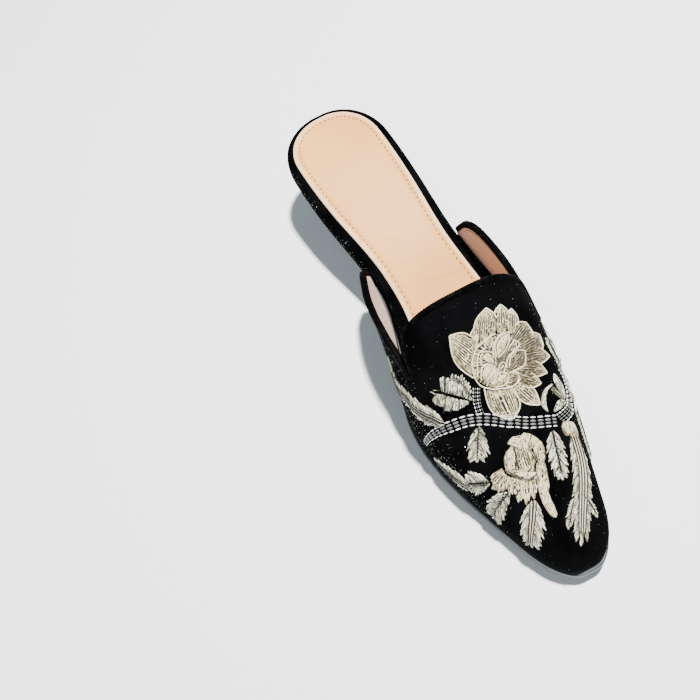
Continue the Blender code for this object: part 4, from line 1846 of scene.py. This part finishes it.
@dataclass
class Needle:
    """Works laid shapes, cords and stitches onto the upper."""

    form: UpperForm
    sink: float = 0.25
    backing: float = 0.18
    cell: float = 0.85
    columns: tuple[int, int] = (4, 14)
    rows: tuple[int, int] = (6, 22)
    end_inset: float = 1.6
    # painted shade taken off the tone towards a fill's side edges
    painted_rim_shade: float = 0.5
    cord_step: float = 0.6
    cord_lay: float = 2.1
    dash_step: float = 0.5
    sharp: float = 75.0

    def on(self, chart: Array, lift: Array | float = 0.0) -> Array:
        """Points of the upper at chart places, off it by a lift."""
        return self.form.at(chart[:, 0], chart[:, 1], lift)

    def piece(self, shop: Workshop, name: str, shapes: Sequence[Shape], finish: Material) -> None:
        """Makes one piece of several worked shapes."""
        shop.piece(name, gather(shapes), finish, sharp=self.sharp)

    def fill(self, laid: Laid) -> Shape:
        """The shape's laid threads as a low cushion whose rim sinks into the velvet.

        Args:
            laid: the shape and how it is worked.

        Returns:
            The cushion.
        """
        walk = np.linspace(0, 1, 33)
        left, right = laid.sides(self.form, walk)
        length = float(distances(self.on((left + right) / 2))[-1])
        width = float(np.linalg.norm(self.on(left) - self.on(right), axis=1).max())
        columns = int(np.clip(width / self.cell, *self.columns))
        rows = int(np.clip(length / self.cell, *self.rows))
        edge, end = laid.inset / width, laid.inset * self.end_inset / length
        seed = float(left[0, 0] * 3.7 + left[0, 1] * 1.3)

        def place(s: Array, t: Array) -> Array:
            """World points of the cushion."""
            from_left, from_right = (read_rows(t * (1 - end), walk, side) for side in (left, right))
            part = (edge + s * (1 - 2 * edge))[:, None]
            dome = np.maximum(1 - np.abs(2 * s - 1) ** 2.6, 0) ** 0.6
            ends = np.clip(np.minimum(t / 0.10, (1 - t) / 0.12), 0, 1) ** 0.7
            lift = laid.lift + (laid.height + self.sink) * dome * ends - self.sink
            return self.form.last.world(self.on(from_left * (1 - part) + from_right * part, lift))

        def thread(s: Array, t: Array) -> Array:
            """Millimetres along and across the threads."""
            return np.stack([t * length + seed, (s - 0.5) * width * 0.9 + seed], axis=1)

        def read(values: tuple[float, ...], t: Array) -> Array:
            """A row of values, read from base to tip."""
            return np.interp(t, np.linspace(0, 1, len(values)), values)

        # the tone carries painted shade that darkens each fill towards its side edges, beside its cord and
        # between neighbouring blades
        shape = skin(columns, rows, place, Drawn(thread, {
            "tone": lambda s, t: read(laid.tone, t) - self.painted_rim_shade * np.abs(2 * s - 1) ** 5,
            "open": lambda s, t: read(laid.open, t) * (1 - np.abs(2 * s - 1) ** 4)}))
        face_out(shape, self.backing)
        return shape

    def edge_cord(self, laid: Laid) -> Shape:
        """A cord laid round a shape's edge."""
        left, right = (laid.sides(self.form, np.linspace(start, 1, 50))[side]
                       for side, start in enumerate(laid.cord_from))
        return self.cord(np.concatenate([left, right[::-1]]), laid.cord,
                         laid.lift + laid.height * 0.45)

    def cord(self, chart: Array, radius: float, lift: float, taper: float = 1.0) -> Shape:
        """A raised cord along a chart path.

        Args:
            chart: the path's (along, across) points.
            radius: the cord's radius.
            lift: how far its middle stands off the velvet.
            taper: the share of the radius that is left at both ends.

        Returns:
            The closed cord.
        """
        path = even(self.on(chart, lift), self.cord_step)
        side, _ = self.beside(path)
        up = np.cross(side, unit(np.gradient(path, axis=0)))
        shares = np.linspace(0, 1, len(path))

        def place(s: Array, t: Array) -> Array:
            """World points round the cord."""
            centre, out, rise = (read_rows(t, shares, rows) for rows in (path, side, up))
            size = radius * (taper + (1 - taper) * np.sin(t * math.pi) ** 0.5)
            ply = size * (1 + 0.10 * np.sin(TURN * t * len(path) / self.cord_lay + 2 * s * TURN))
            offset = out * np.cos(s * TURN)[:, None] + rise * np.sin(s * TURN)[:, None]
            return self.form.last.world(centre + offset * ply[:, None])

        shape = skin(6, len(path) - 1, place)
        close_round(shape)
        return shape

    def beside(self, path: Array) -> tuple[Array, Array]:
        """Directions sideways and outwards along a path on the upper, of length one."""
        normal = self.form.normal(path[:, 1], self.form.turn_at(path))
        return unit(np.cross(unit(np.gradient(path, axis=0)), normal)), normal

    def dashes(self, chart: Array, offs: Sequence[float], stitch: Dash,
               taper: tuple[float, float] = (1.0, 1.0)) -> Shape:
        """Rows of short stitches beside each other along a chart path.

        Args:
            chart: the path's (along, across) points.
            offs: how far each row lies beside the path.
            stitch: the size and spacing of the stitches.
            taper: share of the rows' distance at the path's start and end.

        Returns:
            The stitches.
        """
        path = even(self.on(chart), self.dash_step)
        side, normal = self.beside(path)
        walked = np.arange(len(path)) * self.dash_step
        length = walked[-1]
        middle = np.arange(stitch.pitch / 2, length, stitch.pitch)
        ease = np.minimum(1, np.minimum(
            taper[0] + (1 - taper[0]) * middle / (0.35 * length),
            taper[1] + (1 - taper[1]) * (length - middle) / (0.35 * length)))
        starts, ends, ups, widths = [], [], [], []
        for off in offs:
            for bag, shift in ((starts, -stitch.length / 2), (ends, stitch.length / 2)):
                where = middle + shift + off * stitch.slant
                centre, out, up = (read_rows(where, walked, rows) for rows in (path, side, normal))
                bag.append(centre + out * (off * ease)[:, None] + up * stitch.lift)
            ups.append(read_rows(middle, walked, normal))
            widths.append(stitch.width * (0.35 + 0.65 * ease))
        stitches = Stitches(self.form.last, stitch.width, stitch.height)
        return stitches.shape(*(np.concatenate(bag) for bag in (starts, ends, ups, widths)))

    def curve(self, places: Sequence[Chart]) -> Array:
        """A fair chart path through a few places, in steps of about a millimetre."""
        return fair(places, np.linspace(0, 1, int(distances(np.array(places))[-1]) + 2))


@dataclass
class Blossom:
    """The full flower on the vamp: eleven outer petals round a corded heart."""

    needle: Needle
    pad_height: float = 0.85
    pad_sink: float = 0.1
    pad_reach: float = 11.0
    ring_radius: float = 0.28
    ring_lift: float = 0.85
    middle: Chart = (169.0, -5.5)
    rim: tuple[Chart, ...] = (
        (159.8, -7.7), (160.0, -3.1), (161.5, 1.5), (163.8, 3.9), (167.0, 5.7), (170.0, 6.3),
        (173.7, 4.5), (176.0, 2.0), (177.3, -1.5), (177.8, -5.3), (178.0, -8.7), (176.4, -12.6),
        (173.5, -16.2), (169.0, -18.0), (164.0, -16.6), (161.0, -12.6), (159.8, -7.7))
    lines: tuple[tuple[Chart, ...], ...] = (
        ((170.4, 6.6), (166.6, 5.9), (164.2, 4.5), (162.5, 2.5), (161.1, 0.3), (160.5, -1.8),
         (159.9, -5.3), (159.7, -8.4)),
        ((170.2, 5.3), (167.5, 3.9), (164.5, 1.9), (163.1, 0.2), (162.6, -1.4)),
        ((170.4, 6.6), (173.6, 5.7), (175.8, 3.0), (177.4, 0.0), (178.6, -3.4), (179.0, -6.8),
         (178.0, -10.2)),
        ((166.9, -3.8), (163.2, -5.8), (161.2, -8.8), (160.3, -12.6)),
        ((167.2, -13.8), (168.8, -10.6), (170.3, -8.1), (172.2, -7.2)),
        ((164.4, -14.8), (166.4, -16.2), (167.4, -14.6)),
    )

    def petals(self) -> list[Laid]:
        """The outer petals, from the medial one round by the heel's side to the toe's."""
        worked = {"height": 0.5, "cord": 0.32, "inset": 0.20}
        pale = {"tone": (0.7, 0.9, 1.1), "open": (0.35, 1.05, 0.25), **worked}
        olive = {"tone": (0.20, 0.35, 0.80), "open": (0.65, 0.90, 0.45), **worked}
        rows = (
            (pale, 0, (0.02, 0.30), (170.4, 6.6), (161.5, 11.3), (153.3, 9.2), (154.9, 2.9), (161.2, -2.4)),
            (pale, 0.10, (0.30, 0.55), (161, 3.4), (153.4, -2.2), (150.6, -9.2), (153.8, -11.3),
             (160.6, -8.6)),
            (pale, 0, (0.58, 0.70), (160.5, -9), (152.8, -12.1), (151.4, -15.6), (154, -17.2),
             (161, -13.5)),
            (pale, 0.08, (0.70, 0.35), (161.5, -13.5), (154.7, -17.2), (153.9, -19.4), (156.6, -20.4),
             (163, -16.5)),
            (olive, 0, (0.35, 0.55), (163.5, -13.5), (159.2, -19.6), (159.7, -23.8), (162.8, -25.2),
             (167.5, -15)),
            (olive, 0.08, (0.58, 0.58), (165.5, -15), (163.7, -25.6), (164.6, -29.4), (168, -28.6),
             (171.5, -15.5)),
            (olive, 0, (0.62, 0.50), (169, -15), (169.9, -25.4), (173.2, -29.4), (175.4, -22.8),
             (175, -13.5)),
            (olive, 0.08, (0.50, 0.42), (172, -14), (175.3, -21.2), (179.4, -23.1), (179.6, -17.8),
             (177, -10.5)),
            (olive, 0, (0.42, 0.35), (175, -12), (178.8, -17), (182.4, -18.2), (182.6, -13.6),
             (178.5, -8)),
            (pale, 0.06, (0.35, 0.04), (177.5, -10.5), (184.6, -14.2), (189.4, -13.4), (186.9, -8.5),
             (178.8, -5)),
            (pale, 0, (0.02, 0.02), (178.5, -5.8), (186.6, -5.6), (189.5, -0.4), (184, 5.6), (174.6, 4.6)),
        )
        return [Petal(*places, lift=lift, cord_from=bare, **silk) for silk, lift, bare, *places in rows]

    def heart(self) -> list[Laid]:
        """The corded drops and lobes inside the rings."""
        raised = {"cord": 0.24, "inset": 0.55, "height": 0.70}
        light = (0.8, 1, 1)
        rows = (
            (0.25, light, (0.85, 0.20, 0.10), (169.6, -2.6), (166.8, 1), (163.4, -0.4), (165.6, -4.6),
             (169.8, -3.4)),
            (0.42, light, (0.10, 0.35, 0.10), (167.4, -5), (162.6, -7), (161, -14.2), (165.2, -11.4),
             (167.7, -5.5)),
            (0.20, (0.8, 0.5), (0.5, 0.5), (169.2, -7.8), (166, -12.2), (164.6, -15.4), (167.6, -14.2),
             (170.4, -9.2)),
            (0.25, (0.6, 0.8), (0.8, 0.5), (163, -2.2), (161.2, -3), (160.2, -6.2), (161.8, -6),
             (163.3, -4)),
            (0.50, light, (0.05, 0.10, 0.35), (171.8, 4.6), (167.9, 1), (169.5, -2.5), (173.4, -3.3),
             (175, 0.6)),
            (0.40, light, (0.1, 0.7, 0.1), (175, 1), (172.8, -4.4), (174.4, -6.8), (177, -4.6),
             (176.6, 0.4)),
            (0.42, (0.35, 0.15, 0.2), (0.55, 0.8, 0.7), (172.4, -8.2), (168.2, -12.8), (169.4, -17.3),
             (174, -14.4), (174.1, -8.9)),
            (0.35, (0.8, 0.4, 0.5), (0.2, 0.7, 0.4), (174.4, -7.2), (174.6, -9.4), (177, -10.4),
             (179, -7), (177.8, -3.6)),
        )
        drops: list[Laid] = [Petal(*places, lift=lift, tone=tone, open=open_, **raised)
                             for lift, tone, open_, *places in rows]
        lobe = Motif(((172.5, -4), (170, -7)), 2.7, Cut.LOBE, lift=0.55, tone=light,
                     open=(0.5, 0.9, 0.3), **raised)
        return [*drops[:5], lobe, *drops[5:]]

    def pad(self) -> Shape:
        """The heart's own ground of laid thread, as a low round cushion."""

        def place(s: Array, t: Array) -> Array:
            """World points of the cushion."""
            chart = np.array(self.middle) + (fair(self.rim, s) - np.array(self.middle)) * t[:, None]
            lift = self.pad_height * np.maximum(1 - t ** 4, 0) ** 0.6 - self.pad_sink
            return self.needle.form.last.world(self.needle.on(chart, lift))

        shape = skin(52, 12, place, Drawn(
            lambda s, t: np.stack([t * self.pad_reach, s * 4 * self.pad_reach], axis=1),
            {"tone": lambda _, t: 0.25 + 0.45 * t, "open": lambda _, t: 0.85 - 0.2 * t}))
        bmesh.ops.remove_doubles(shape, verts=shape.verts, dist=WELD)
        face_out(shape, 0.3)
        return shape

    def build(self, shop: Workshop, thread: Material, cord: Material) -> None:
        """Makes the flower.

        Args:
            shop: the workshop.
            thread: the petals' silk.
            cord: the cords' thread.
        """
        needle, laid = self.needle, [*self.petals(), *self.heart()]
        needle.piece(shop, "blossom_petals", [self.pad(), *map(needle.fill, laid)], thread)
        rings = [needle.cord(needle.curve(line), self.ring_radius, self.ring_lift) for line in self.lines]
        needle.piece(shop, "blossom_cords", [*map(needle.edge_cord, laid), *rings], cord)


@dataclass
class Foliage:
    """The leaves, the cupped bud and the smaller flower, with black cords over them for black gaps and
    painted shade.
    """

    needle: Needle

    vein_cord: tuple[float, float] = (0.22, 0.75)
    rib_cord: tuple[float, float] = (0.28, 0.95)
    gap_and_shade_cord: tuple[float, float] = (0.27, 1.65)
    cord_taper: float = 0.4

    def edge(self, along: float, rise: float) -> Chart:
        """A chart place on the outer wall, by its distance up from the feather line."""
        return (along, self.needle.form.from_edge(Side.LATERAL, along, rise))

    def broad_leaf(self) -> list[Laid]:
        """The leaf with a black midrib, its satin laid from the midrib out to blunt steps."""
        blocks = (
            (((169.4, 20.1), (164.5, 17.2)), ((172.6, 16.1), (168.1, 13))),
            (((172.2, 16.6), (167.8, 13.5)), ((174.9, 13.5), (172.3, 10.9))),
            (((174.5, 13.9), (172, 11.3)), ((176.9, 11.6), (176.5, 10.9))),
            (((167.9, 21.6), (163.4, 19.8)), ((169.1, 20.2), (164.2, 17.5))),
            (((167.3, 23.9), (167.8, 27.8)), ((169.1, 21.3), (170.9, 26.4))),
            (((168.6, 21.8), (170.6, 26.6)), ((170.4, 19.9), (173.2, 23))),
            (((170.3, 20.1), (173.6, 24.3)), ((172, 18.1), (175.6, 21.8))),
            (((171.6, 18.5), (175.3, 22)), ((174.1, 15.7), (177.4, 18))),
            (((173.7, 16.1), (177.1, 18.3)), ((176.6, 12.3), (177.3, 13.3))),
            (((167.4, 24.5), (165, 26.9)), ((167.9, 23.7), (165.5, 25.9))),
            (((166.7, 22.6), (165.2, 25.3)), ((167.4, 21.8), (165.8, 24.6))))
        fringe = Fan(((166.6, 16), (164.6, 14.6)), ((170.6, 12.6), (167.7, 9.8)),
                     ((174.8, 11.2), (173.8, 9.2)), 9, 1.3, ragged=0.24)
        return fringe.work() + [
            Patch(left, right, tone=(0.75, 1), open=(0.50, 0.40, 0.15), lift=0.1) for left, right in blocks]

    def leaves(self) -> list[Leaf]:
        """The leaves over the vamp and down both walls."""
        edge = self.edge
        return [
            Leaf(((185.6, 13.4), (190.6, 16.4), (196.8, 20.8)), 12, 3, lean=38, depth=0.42, cut=Cut.FAN),
            Leaf(((178.5, 25.8), (168, 36.5), (157, 48), (147, 56), (137.5, 53.5)), 9.5, 7,
                 lean=30, pitch=1.7, veins=2),
            Leaf(((202, 31.5), (192, 40.5), (180.8, 49.5)), 10.5, 5, lean=32, pitch=1.6, veins=1,
                 cut=Cut.TAPER),
            Leaf(((205.6, 19.8), (202, 27), (198.5, 34)), 12, 3, lean=40),
            Leaf(((212.4, 14.6), (214.4, 23), (215.4, 32)), 12, 3, lean=38, split=0.6, cut=Cut.FAN),
            Leaf(((219.4, 7.8), (226.6, 12.8), (234.4, 19.7)), 12.8, 4, lean=38, veins=2, cut=Cut.FAN),
            Leaf(((199.6, -13.2), (209, -10), (218.6, -6.6)), 9.4, 5, lean=36, cut=Cut.STRAP),
            Leaf(((203.4, -21.6), (214.4, -18), (223.6, -12.7), (232, -6.9), (243.4, 0.8)), 9, 8,
                 lean=30, pitch=1.3, depth=0.25, veins=3, split=2.0, cut=Cut.STRAP, tone=(0.15, 1)),
            Leaf(((226.4, -10.4), (231.5, -11.2), (236.8, -11)), 3.8, 2, lean=28, split=0.0, pitch=1.0),
            Leaf(((226, -7), (230.6, -2.6), (235.8, 2)), 3.8, 2, lean=28, split=0.0, pitch=1.0),
            Leaf((edge(146, 20.5), edge(137, 25.5)), 5, 2, lean=45),
            Leaf((edge(167.5, 21.5), edge(155, 19), edge(141.5, 15.5)), 11.5, 4, lean=46, depth=0.42),
            Leaf((edge(167, 20), edge(161, 7)), 4.4, 2, lean=40),
            Leaf((edge(172, 23), edge(168.5, 5)), 6.4, 3, lean=40),
            Leaf((edge(174.5, 25), edge(165, 35)), 7.4, 3, lean=42),
            Leaf((edge(190, 13), edge(174.5, 10.5)), 7, 4, lean=40),
            Leaf((edge(193.5, 15), edge(203, 9.5), edge(214.5, 5.5)), 9.5, 5, lean=42, depth=0.45,
                 veins=1),
            Leaf((edge(196.5, 13), edge(187, 5)), 6.5, 3, lean=40, lift=0.1),
        ]

    def small_flower(self) -> list[Laid]:
        """The second flower: a rounded cap of petals over a fringe, and the round bud by it."""
        fringe = Fan(((207.2, 12), (212.4, 15.2)), ((210.4, 7.8), (220.2, 11.8)),
                     ((211.7, 1.6), (218, 3.8)), 12, 2, ragged=0.24, tone=(0.75, 1.1))
        lobe = Fan(((203.8, 12.4), (203.6, 18.6)), ((205.6, 12.6), (208.8, 21)),
                   ((207.8, 11.4), (212, 15.6)), 9, 1.9, ragged=0.14, lift=0.1, tone=(0.7, 1))
        cream = {"tone": (0.8, 1, 1.1), "open": (0.60, 0.40, 0.20)}
        rows = (
            (0, (196.6, -1.6), (195.1, 2), (196.6, 6.2), (199.3, 4), (202.4, 1.4)),
            (0.05, (206.4, 12.4), (200.3, 10), (198, 5), (201, 3), (208.2, 5.4)),
            (0.2, (202, 3.6), (198, 2.7), (195.8, -1.8), (197.8, -4.4), (203, -2)),
            (0.1, (208.6, -0.2), (202.2, -2.2), (196.6, -3.6), (202.4, -7), (209.2, -4.6)),
            (0.35, (206.2, 11.6), (212, 6.8), (211.6, 0.2), (208.6, 4.4), (206.2, 9)))
        return [
            Motif(((204.8, -20.5), (198.4, -22.7)), 8.8, Cut.LOBE, height=1.2, tone=(0.7, 1),
                  open=(0.5, 0.3)),
            *fringe.work(), *lobe.work(),
            Motif(((207.6, -2.6), (213.6, -0.2), (219, 2.4), (229.8, 3.6)), 4.6, Cut.STRAP, lift=0.1,
                  **cream),
            *(Petal(*places, lift=lift, **cream) for lift, *places in rows),
            Petal((209.8, 6.6), (203.4, 6.2), (199.8, 0.6), (204.8, -1.2), (210, 1.2), lift=0.50,
                  tone=(1, 0.75, 0.9), open=(0.3, 0.9, 0.7))]

    def bud(self) -> list[Laid]:
        """The cupped bud beside the vine."""
        return [
            Patch(((193, -15), (189.6, -13.8), (187.6, -14.8), (184.7, -18.6), (183.5, -24)),
                  ((193.4, -15.6), (190.4, -16.4), (187.8, -17.8), (185.6, -20.4), (184.2, -24)),
                  tone=(0.9, 1.1), open=(0.3, 0.6, 0.3), height=0.7),
            Patch(((190.2, -27), (187.8, -26.4), (184.8, -25.2), (183, -24.9), (179.7, -27.2)),
                  ((190.2, -28.1), (187.6, -29.9), (185.2, -30.4), (182.2, -29), (179.6, -27.6)),
                  tone=(0.8, 1.1), open=(0.5, 0.6, 0.3), height=0.7),
            Motif(((184.9, -22.4), (190.2, -26.4)), 3.6, Cut.LOBE, tone=(0.35, 0.6), open=(0.9, 1)),
            Patch(((193.6, -17.6), (191.2, -20.2), (189.9, -23.6), (190.3, -27)),
                  ((194.2, -18.2), (193.8, -21.2), (192.9, -24.8), (191.1, -27.9)),
                  tone=(1, 0.8), open=(0.4, 0.8, 0.5), height=0.7),
        ]

    def gap_and_shade_lines(self) -> list[tuple[Chart, ...]]:
        """Black cords between the small flower's petals and across the broad leaf, partly for black gaps
        between the stitches and partly for painted shade beside raised parts.
        """
        return [
            ((198, 4.6), (200.4, 4.9), (202.9, 6.2)), ((204.9, -0.2), (207.8, -2)),
            ((207.6, 1), (209.4, 4)), ((197.4, -4.4), (199.4, -2.2)),
            ((204.6, 12.2), (207.6, 9.6), (210, 8), (211.7, 6.5), (212.1, 4.2), (211.4, 1.2)),
            ((200.8, 4), (204, 6.4), (207.4, 6.3)), ((215.4, 13.6), (213.4, 10.6)),
            ((212.6, 17.8), (210, 14.8)), ((165.4, 16.4), (167.4, 13.2), (171, 12), (175.6, 11)),
            ((164.3, 17.2), (169.2, 20.2)), ((171.2, 13.2), (174.3, 14.2)), ((173.6, 11.6), (175.6, 12.6)),
            ((174.6, 23.8), (171.5, 20.8)), ((176, 21.2), (173.5, 18.2)), ((167.9, 24), (172, 23.2)),
        ]

    def build(self, shop: Workshop, green: Material, thread: Material,
              cord: Material, ink: Material) -> None:
        """Makes the leaves, the lines over them, the small flower and the cupped bud.

        Args:
            shop: the workshop.
            green: the leaves' silk.
            thread: the flower's silk.
            cord: the cords' thread.
            ink: the black thread of the midrib cords and of the lines for black gaps and painted shade.
        """
        form, needle, leaves = self.needle.form, self.needle, self.leaves()
        blades = [*self.broad_leaf(), *(blade for leaf in leaves for blade in leaf.work(form))]
        needle.piece(shop, "embroidered_leaves", [*map(needle.fill, blades)], green)
        veins, ribs = (
            [needle.cord(path, radius, lift + leaf.lift, self.cord_taper)
             for leaf in leaves for path in leaf.vein_lines(form, leaf.veins + more)]
            for more, (radius, lift) in enumerate((self.vein_cord, self.rib_cord)))
        needle.piece(shop, "leaf_vein_cords", veins, cord)
        # black cords that stand partly for black gaps between the stitches and partly for painted shade
        # beside raised parts
        black = [needle.cord(needle.curve(line), *self.gap_and_shade_cord, self.cord_taper)
                 for line in self.gap_and_shade_lines()]
        needle.piece(shop, "black_gap_and_painted_shade_lines", [*black, *ribs], ink)
        needle.piece(shop, "embroidered_small_flower", [*map(needle.fill, self.small_flower())], thread)
        needle.piece(shop, "embroidered_cupped_bud", [*map(needle.fill, self.bud())], green)


@dataclass
class Vine:
    """The stitched stem: rows of pale and grey dashes with black between them."""

    needle: Needle
    stem_dash: Dash = Dash(pitch=3.2, length=2.55, width=0.72)
    inner_dash: Dash = Dash(pitch=3.2, length=2.6, width=1.05)
    twist_dash: Dash = Dash(pitch=2.1, length=1.6, width=0.62, slant=0.45)
    branch_dash: Dash = Dash(pitch=1.5, length=1.0, width=0.5)

    def build(self, shop: Workshop, silver: Material, grey: Material) -> None:
        """Makes the stem, its twisted end down the outer wall, and its side branch.

        Args:
            shop: the workshop.
            silver: the outer rows' thread.
            grey: the inner rows' thread.
        """
        needle = self.needle
        stem, twist, branch = map(needle.curve, (
            ((174.4, 51), (177.8, 33), (180.7, 22), (183.5, 12.8), (188.2, 4), (194, -7), (197.2, -17)),
            ((197.3, -18.4), (195.4, -24.8), (191.9, -30.2), (188.6, -32.9), (185, -35.2),
             (181.2, -36.3), (178.4, -35.2), (176.2, -32.6)),
            ((183, 10.6), (178.3, 9.9), (173.4, 7.4))))
        slim, closing = (0.45, 1), (1, 0.6)
        outer = [needle.dashes(stem, (-2.15, 2.1), self.stem_dash, slim),
                 needle.dashes(twist, (-2.3, 2.3), self.twist_dash, closing),
                 needle.dashes(branch, (-1.3, 0.45), self.branch_dash)]
        inner = [needle.dashes(stem, (-0.68, 0.66), self.inner_dash, slim),
                 needle.dashes(twist, (-1.15, 0, 1.15), self.twist_dash, closing),
                 needle.dashes(branch, (-0.45, 1.3), self.branch_dash)]
        needle.piece(shop, "vine_outer_stitches", outer, silver)
        needle.piece(shop, "vine_inner_stitches", inner, grey)


# ---------------- heel


@dataclass
class Heel:
    """The shallow cup under the seat, the block, and the tread under it."""

    last: Last
    inset: float = 3.5
    depth: float = 9.0
    lip: float = 0.6
    shrink: float = 10.0
    front: float = 45.7
    width: float = 16.5
    block_depth: float = 10.0
    back: float = 12.0
    corner: float = 1.0
    tread: float = 3.0
    tread_in: float = 0.6
    tread_corner: float = 0.5
    front_lean: float = 0.3
    sharp: float = 50.0

    def cup(self) -> Shape:
        """The cup, deepest at the back."""
        last = self.last

        def place(s: Array, t: Array) -> Array:
            """World points of the cup, round from its back and down."""
            inset = self.inset + self.shrink * (1 - np.sqrt(np.maximum(1 - t * t, 0)))
            front = self.front - (inset - self.inset) * self.front_lean
            medial_side = s < 0.5
            share = np.where(medial_side, 2 * s, 2 - 2 * s)
            along = inset + last.tip + (front - inset - last.tip) * (1 - np.cos(math.pi * share / 2))
            x = np.empty_like(along)
            for value in np.unique(inset):
                rows = inset == value
                medial, lateral = last.plan(along[rows], -value, -value)
                x[rows] = np.where(medial_side[rows], medial, lateral)
            part = (self.front + last.gap - along) / (self.front + last.gap - self.inset)
            depth = self.lip + (self.depth - self.lip) * part
            up = last.board_base(along) - 2 * last.gap - depth * t
            return last.world(np.stack([x, along, up], axis=1))

        shape = skin(121, 14, place)
        close_round(shape)
        return shape

    def bar(self, low: float, high: float, corner: float, inset: float = 0.0) -> Shape:
        """An upright bar with rounded edges, under the heel seat.

        Args:
            low: height of its foot.
            high: height of its top.
            corner: radius of its edges.
            inset: how much slimmer than the block it is.

        Returns:
            The bar.
        """
        shape = bmesh.new()
        bmesh.ops.create_cube(shape, size=1.0)
        middle = np.array([[0.0, self.back + self.block_depth / 2, (low + high) / 2]])
        centre = Vector(self.last.world(middle)[0])
        width, depth = self.width - inset, self.block_depth - inset
        size = Matrix.Diagonal((width * MM, depth * MM, (high - low) * MM, 1.0))
        bmesh.ops.transform(shape, matrix=Matrix.Translation(centre) @ size, verts=shape.verts)
        bmesh.ops.bevel(shape, geom=shape.edges[:], offset=corner * MM, offset_type="OFFSET",
                        segments=4, profile=0.5, affect="EDGES", material=-1)
        return shape

    def build(self, shop: Workshop) -> None:
        """Makes the cup, the block and the tread."""
        top = float(self.last.board_base(self.back + self.block_depth)) - 2 * self.last.gap - self.depth / 2
        block = self.bar(self.tread + self.last.gap, top, self.corner)
        tread = self.bar(0.0, self.tread, self.tread_corner, self.tread_in)
        lacquer, rubber = Lacquer().material(), Rubber(name="tread_rubber").material()
        for name, shape, finish, slot, node in (
                ("heel_cup", self.cup(), lacquer, "black_heel_lacquer", "heel"),
                ("heel_block", block, lacquer, "black_heel_lacquer", "heel"),
                ("heel_tread", tread, rubber, "charcoal_sole", "top_piece")):
            shop.piece(name, shape, finish, slot, (node,), sharp=self.sharp)


# ---------------- studio


@dataclass(frozen=True)
class Lamp:
    """A square soft light that looks at the shoe."""

    name: str
    place: tuple[float, float, float]
    size: float
    watts: float


@dataclass
class Studio:
    """The pale floor, the soft lights and the camera."""

    eye: tuple[float, float, float] = (0.0686, 0.1644, 0.3463)
    target: tuple[float, float, float] = (0.0452, -0.0097, 0.020)
    head: tuple[float, float, float] = (-0.458, -0.770, 0.444)
    lens: float = 40.5
    film: float = 36.0
    near: float = 0.01
    aim: tuple[float, float, float] = (0.0, 0.0, 0.02)
    sky: Colour = (0.62, 0.80, 0.92)
    sky_strength: float = 0.34
    lamps: tuple[Lamp, ...] = (
        Lamp("key", (-0.24, -0.084, 1.20), 0.08, 54.0),
        Lamp("fill", (0.9, 0.7, 1.0), 1.4, 5.5),
    )

    def build(self) -> None:
        """Makes the floor, lights and camera."""
        shape = bmesh.new()
        bmesh.ops.create_grid(shape, x_segments=2, y_segments=2, size=3.0)
        mesh = mesh_of("floor", shape)
        mesh.materials.append(Paper().material())
        placed("floor", mesh)
        world = bpy.data.worlds.new("studio")
        world.use_nodes = True
        backdrop = world.node_tree.nodes["Background"]
        backdrop.inputs["Color"].default_value = (*self.sky, 1.0)
        backdrop.inputs["Strength"].default_value = self.sky_strength
        bpy.context.scene.world = world
        for lamp in self.lamps:
            data = bpy.data.lights.new(lamp.name, "AREA")
            data.size, data.energy = lamp.size, lamp.watts
            place = Vector(lamp.place)
            aim = (Vector(self.aim) - place).to_track_quat("-Z", "Y")
            placed(lamp.name, data).matrix_world = (
                Matrix.Translation(place) @ aim.to_matrix().to_4x4())
        back = (Vector(self.eye) - Vector(self.target)).normalized()
        right = Vector(self.head).cross(back).normalized()
        turn = Matrix((right, back.cross(right), back)).transposed().to_4x4()
        data = bpy.data.cameras.new("camera")
        data.lens, data.sensor_width, data.clip_start = self.lens, self.film, self.near
        bpy.context.scene.camera = placed("camera", data)
        bpy.context.scene.camera.matrix_world = Matrix.Translation(Vector(self.eye)) @ turn


def main() -> None:
    """Builds the shoe's pieces in order, then the studio."""
    logging.basicConfig(level=logging.INFO, format="%(name)s %(message)s")
    last = Last()
    form = UpperForm(last)
    topline = Topline(form)
    shop = Workshop()
    velvet = Velvet().material()
    Outsole(last).build(shop)
    Footbed(last).build(shop, velvet)
    Sock(last).build(shop)
    Upper(form, topline).build(shop, velvet)
    Binding(form, topline).build(shop)
    needle = Needle(form)
    silk = Thread("champagne_silk", (0.95, 0.81, 0.50), (0.115, 0.080, 0.028)).material()
    cord = Twist("champagne_cord", (0.95, 0.84, 0.60), (0.62, 0.50, 0.27)).material()
    green = Thread("sage_silk", (0.93, 0.88, 0.65), (0.075, 0.070, 0.030)).material()
    silver = Twist("silver_thread", (0.84, 0.84, 0.80), (0.52, 0.52, 0.49)).material()
    grey = Twist("grey_thread", (0.16, 0.16, 0.15), (0.07, 0.07, 0.065)).material()
    Blossom(needle).build(shop, silk, cord)
    # black thread for the midrib cords and for the lines of black gaps and painted shade
    ink = Twist("black_gap_and_shade_thread", (0.003, 0.003, 0.003), (0.002, 0.002, 0.002)).material()
    Foliage(needle).build(shop, green, silk, cord, ink)
    Vine(needle).build(shop, silver, grey)
    Heel(last).build(shop)
    Studio().build()
    LOG.info("%d pieces", len(shop.pieces))


if __name__ == "__main__":
    main()
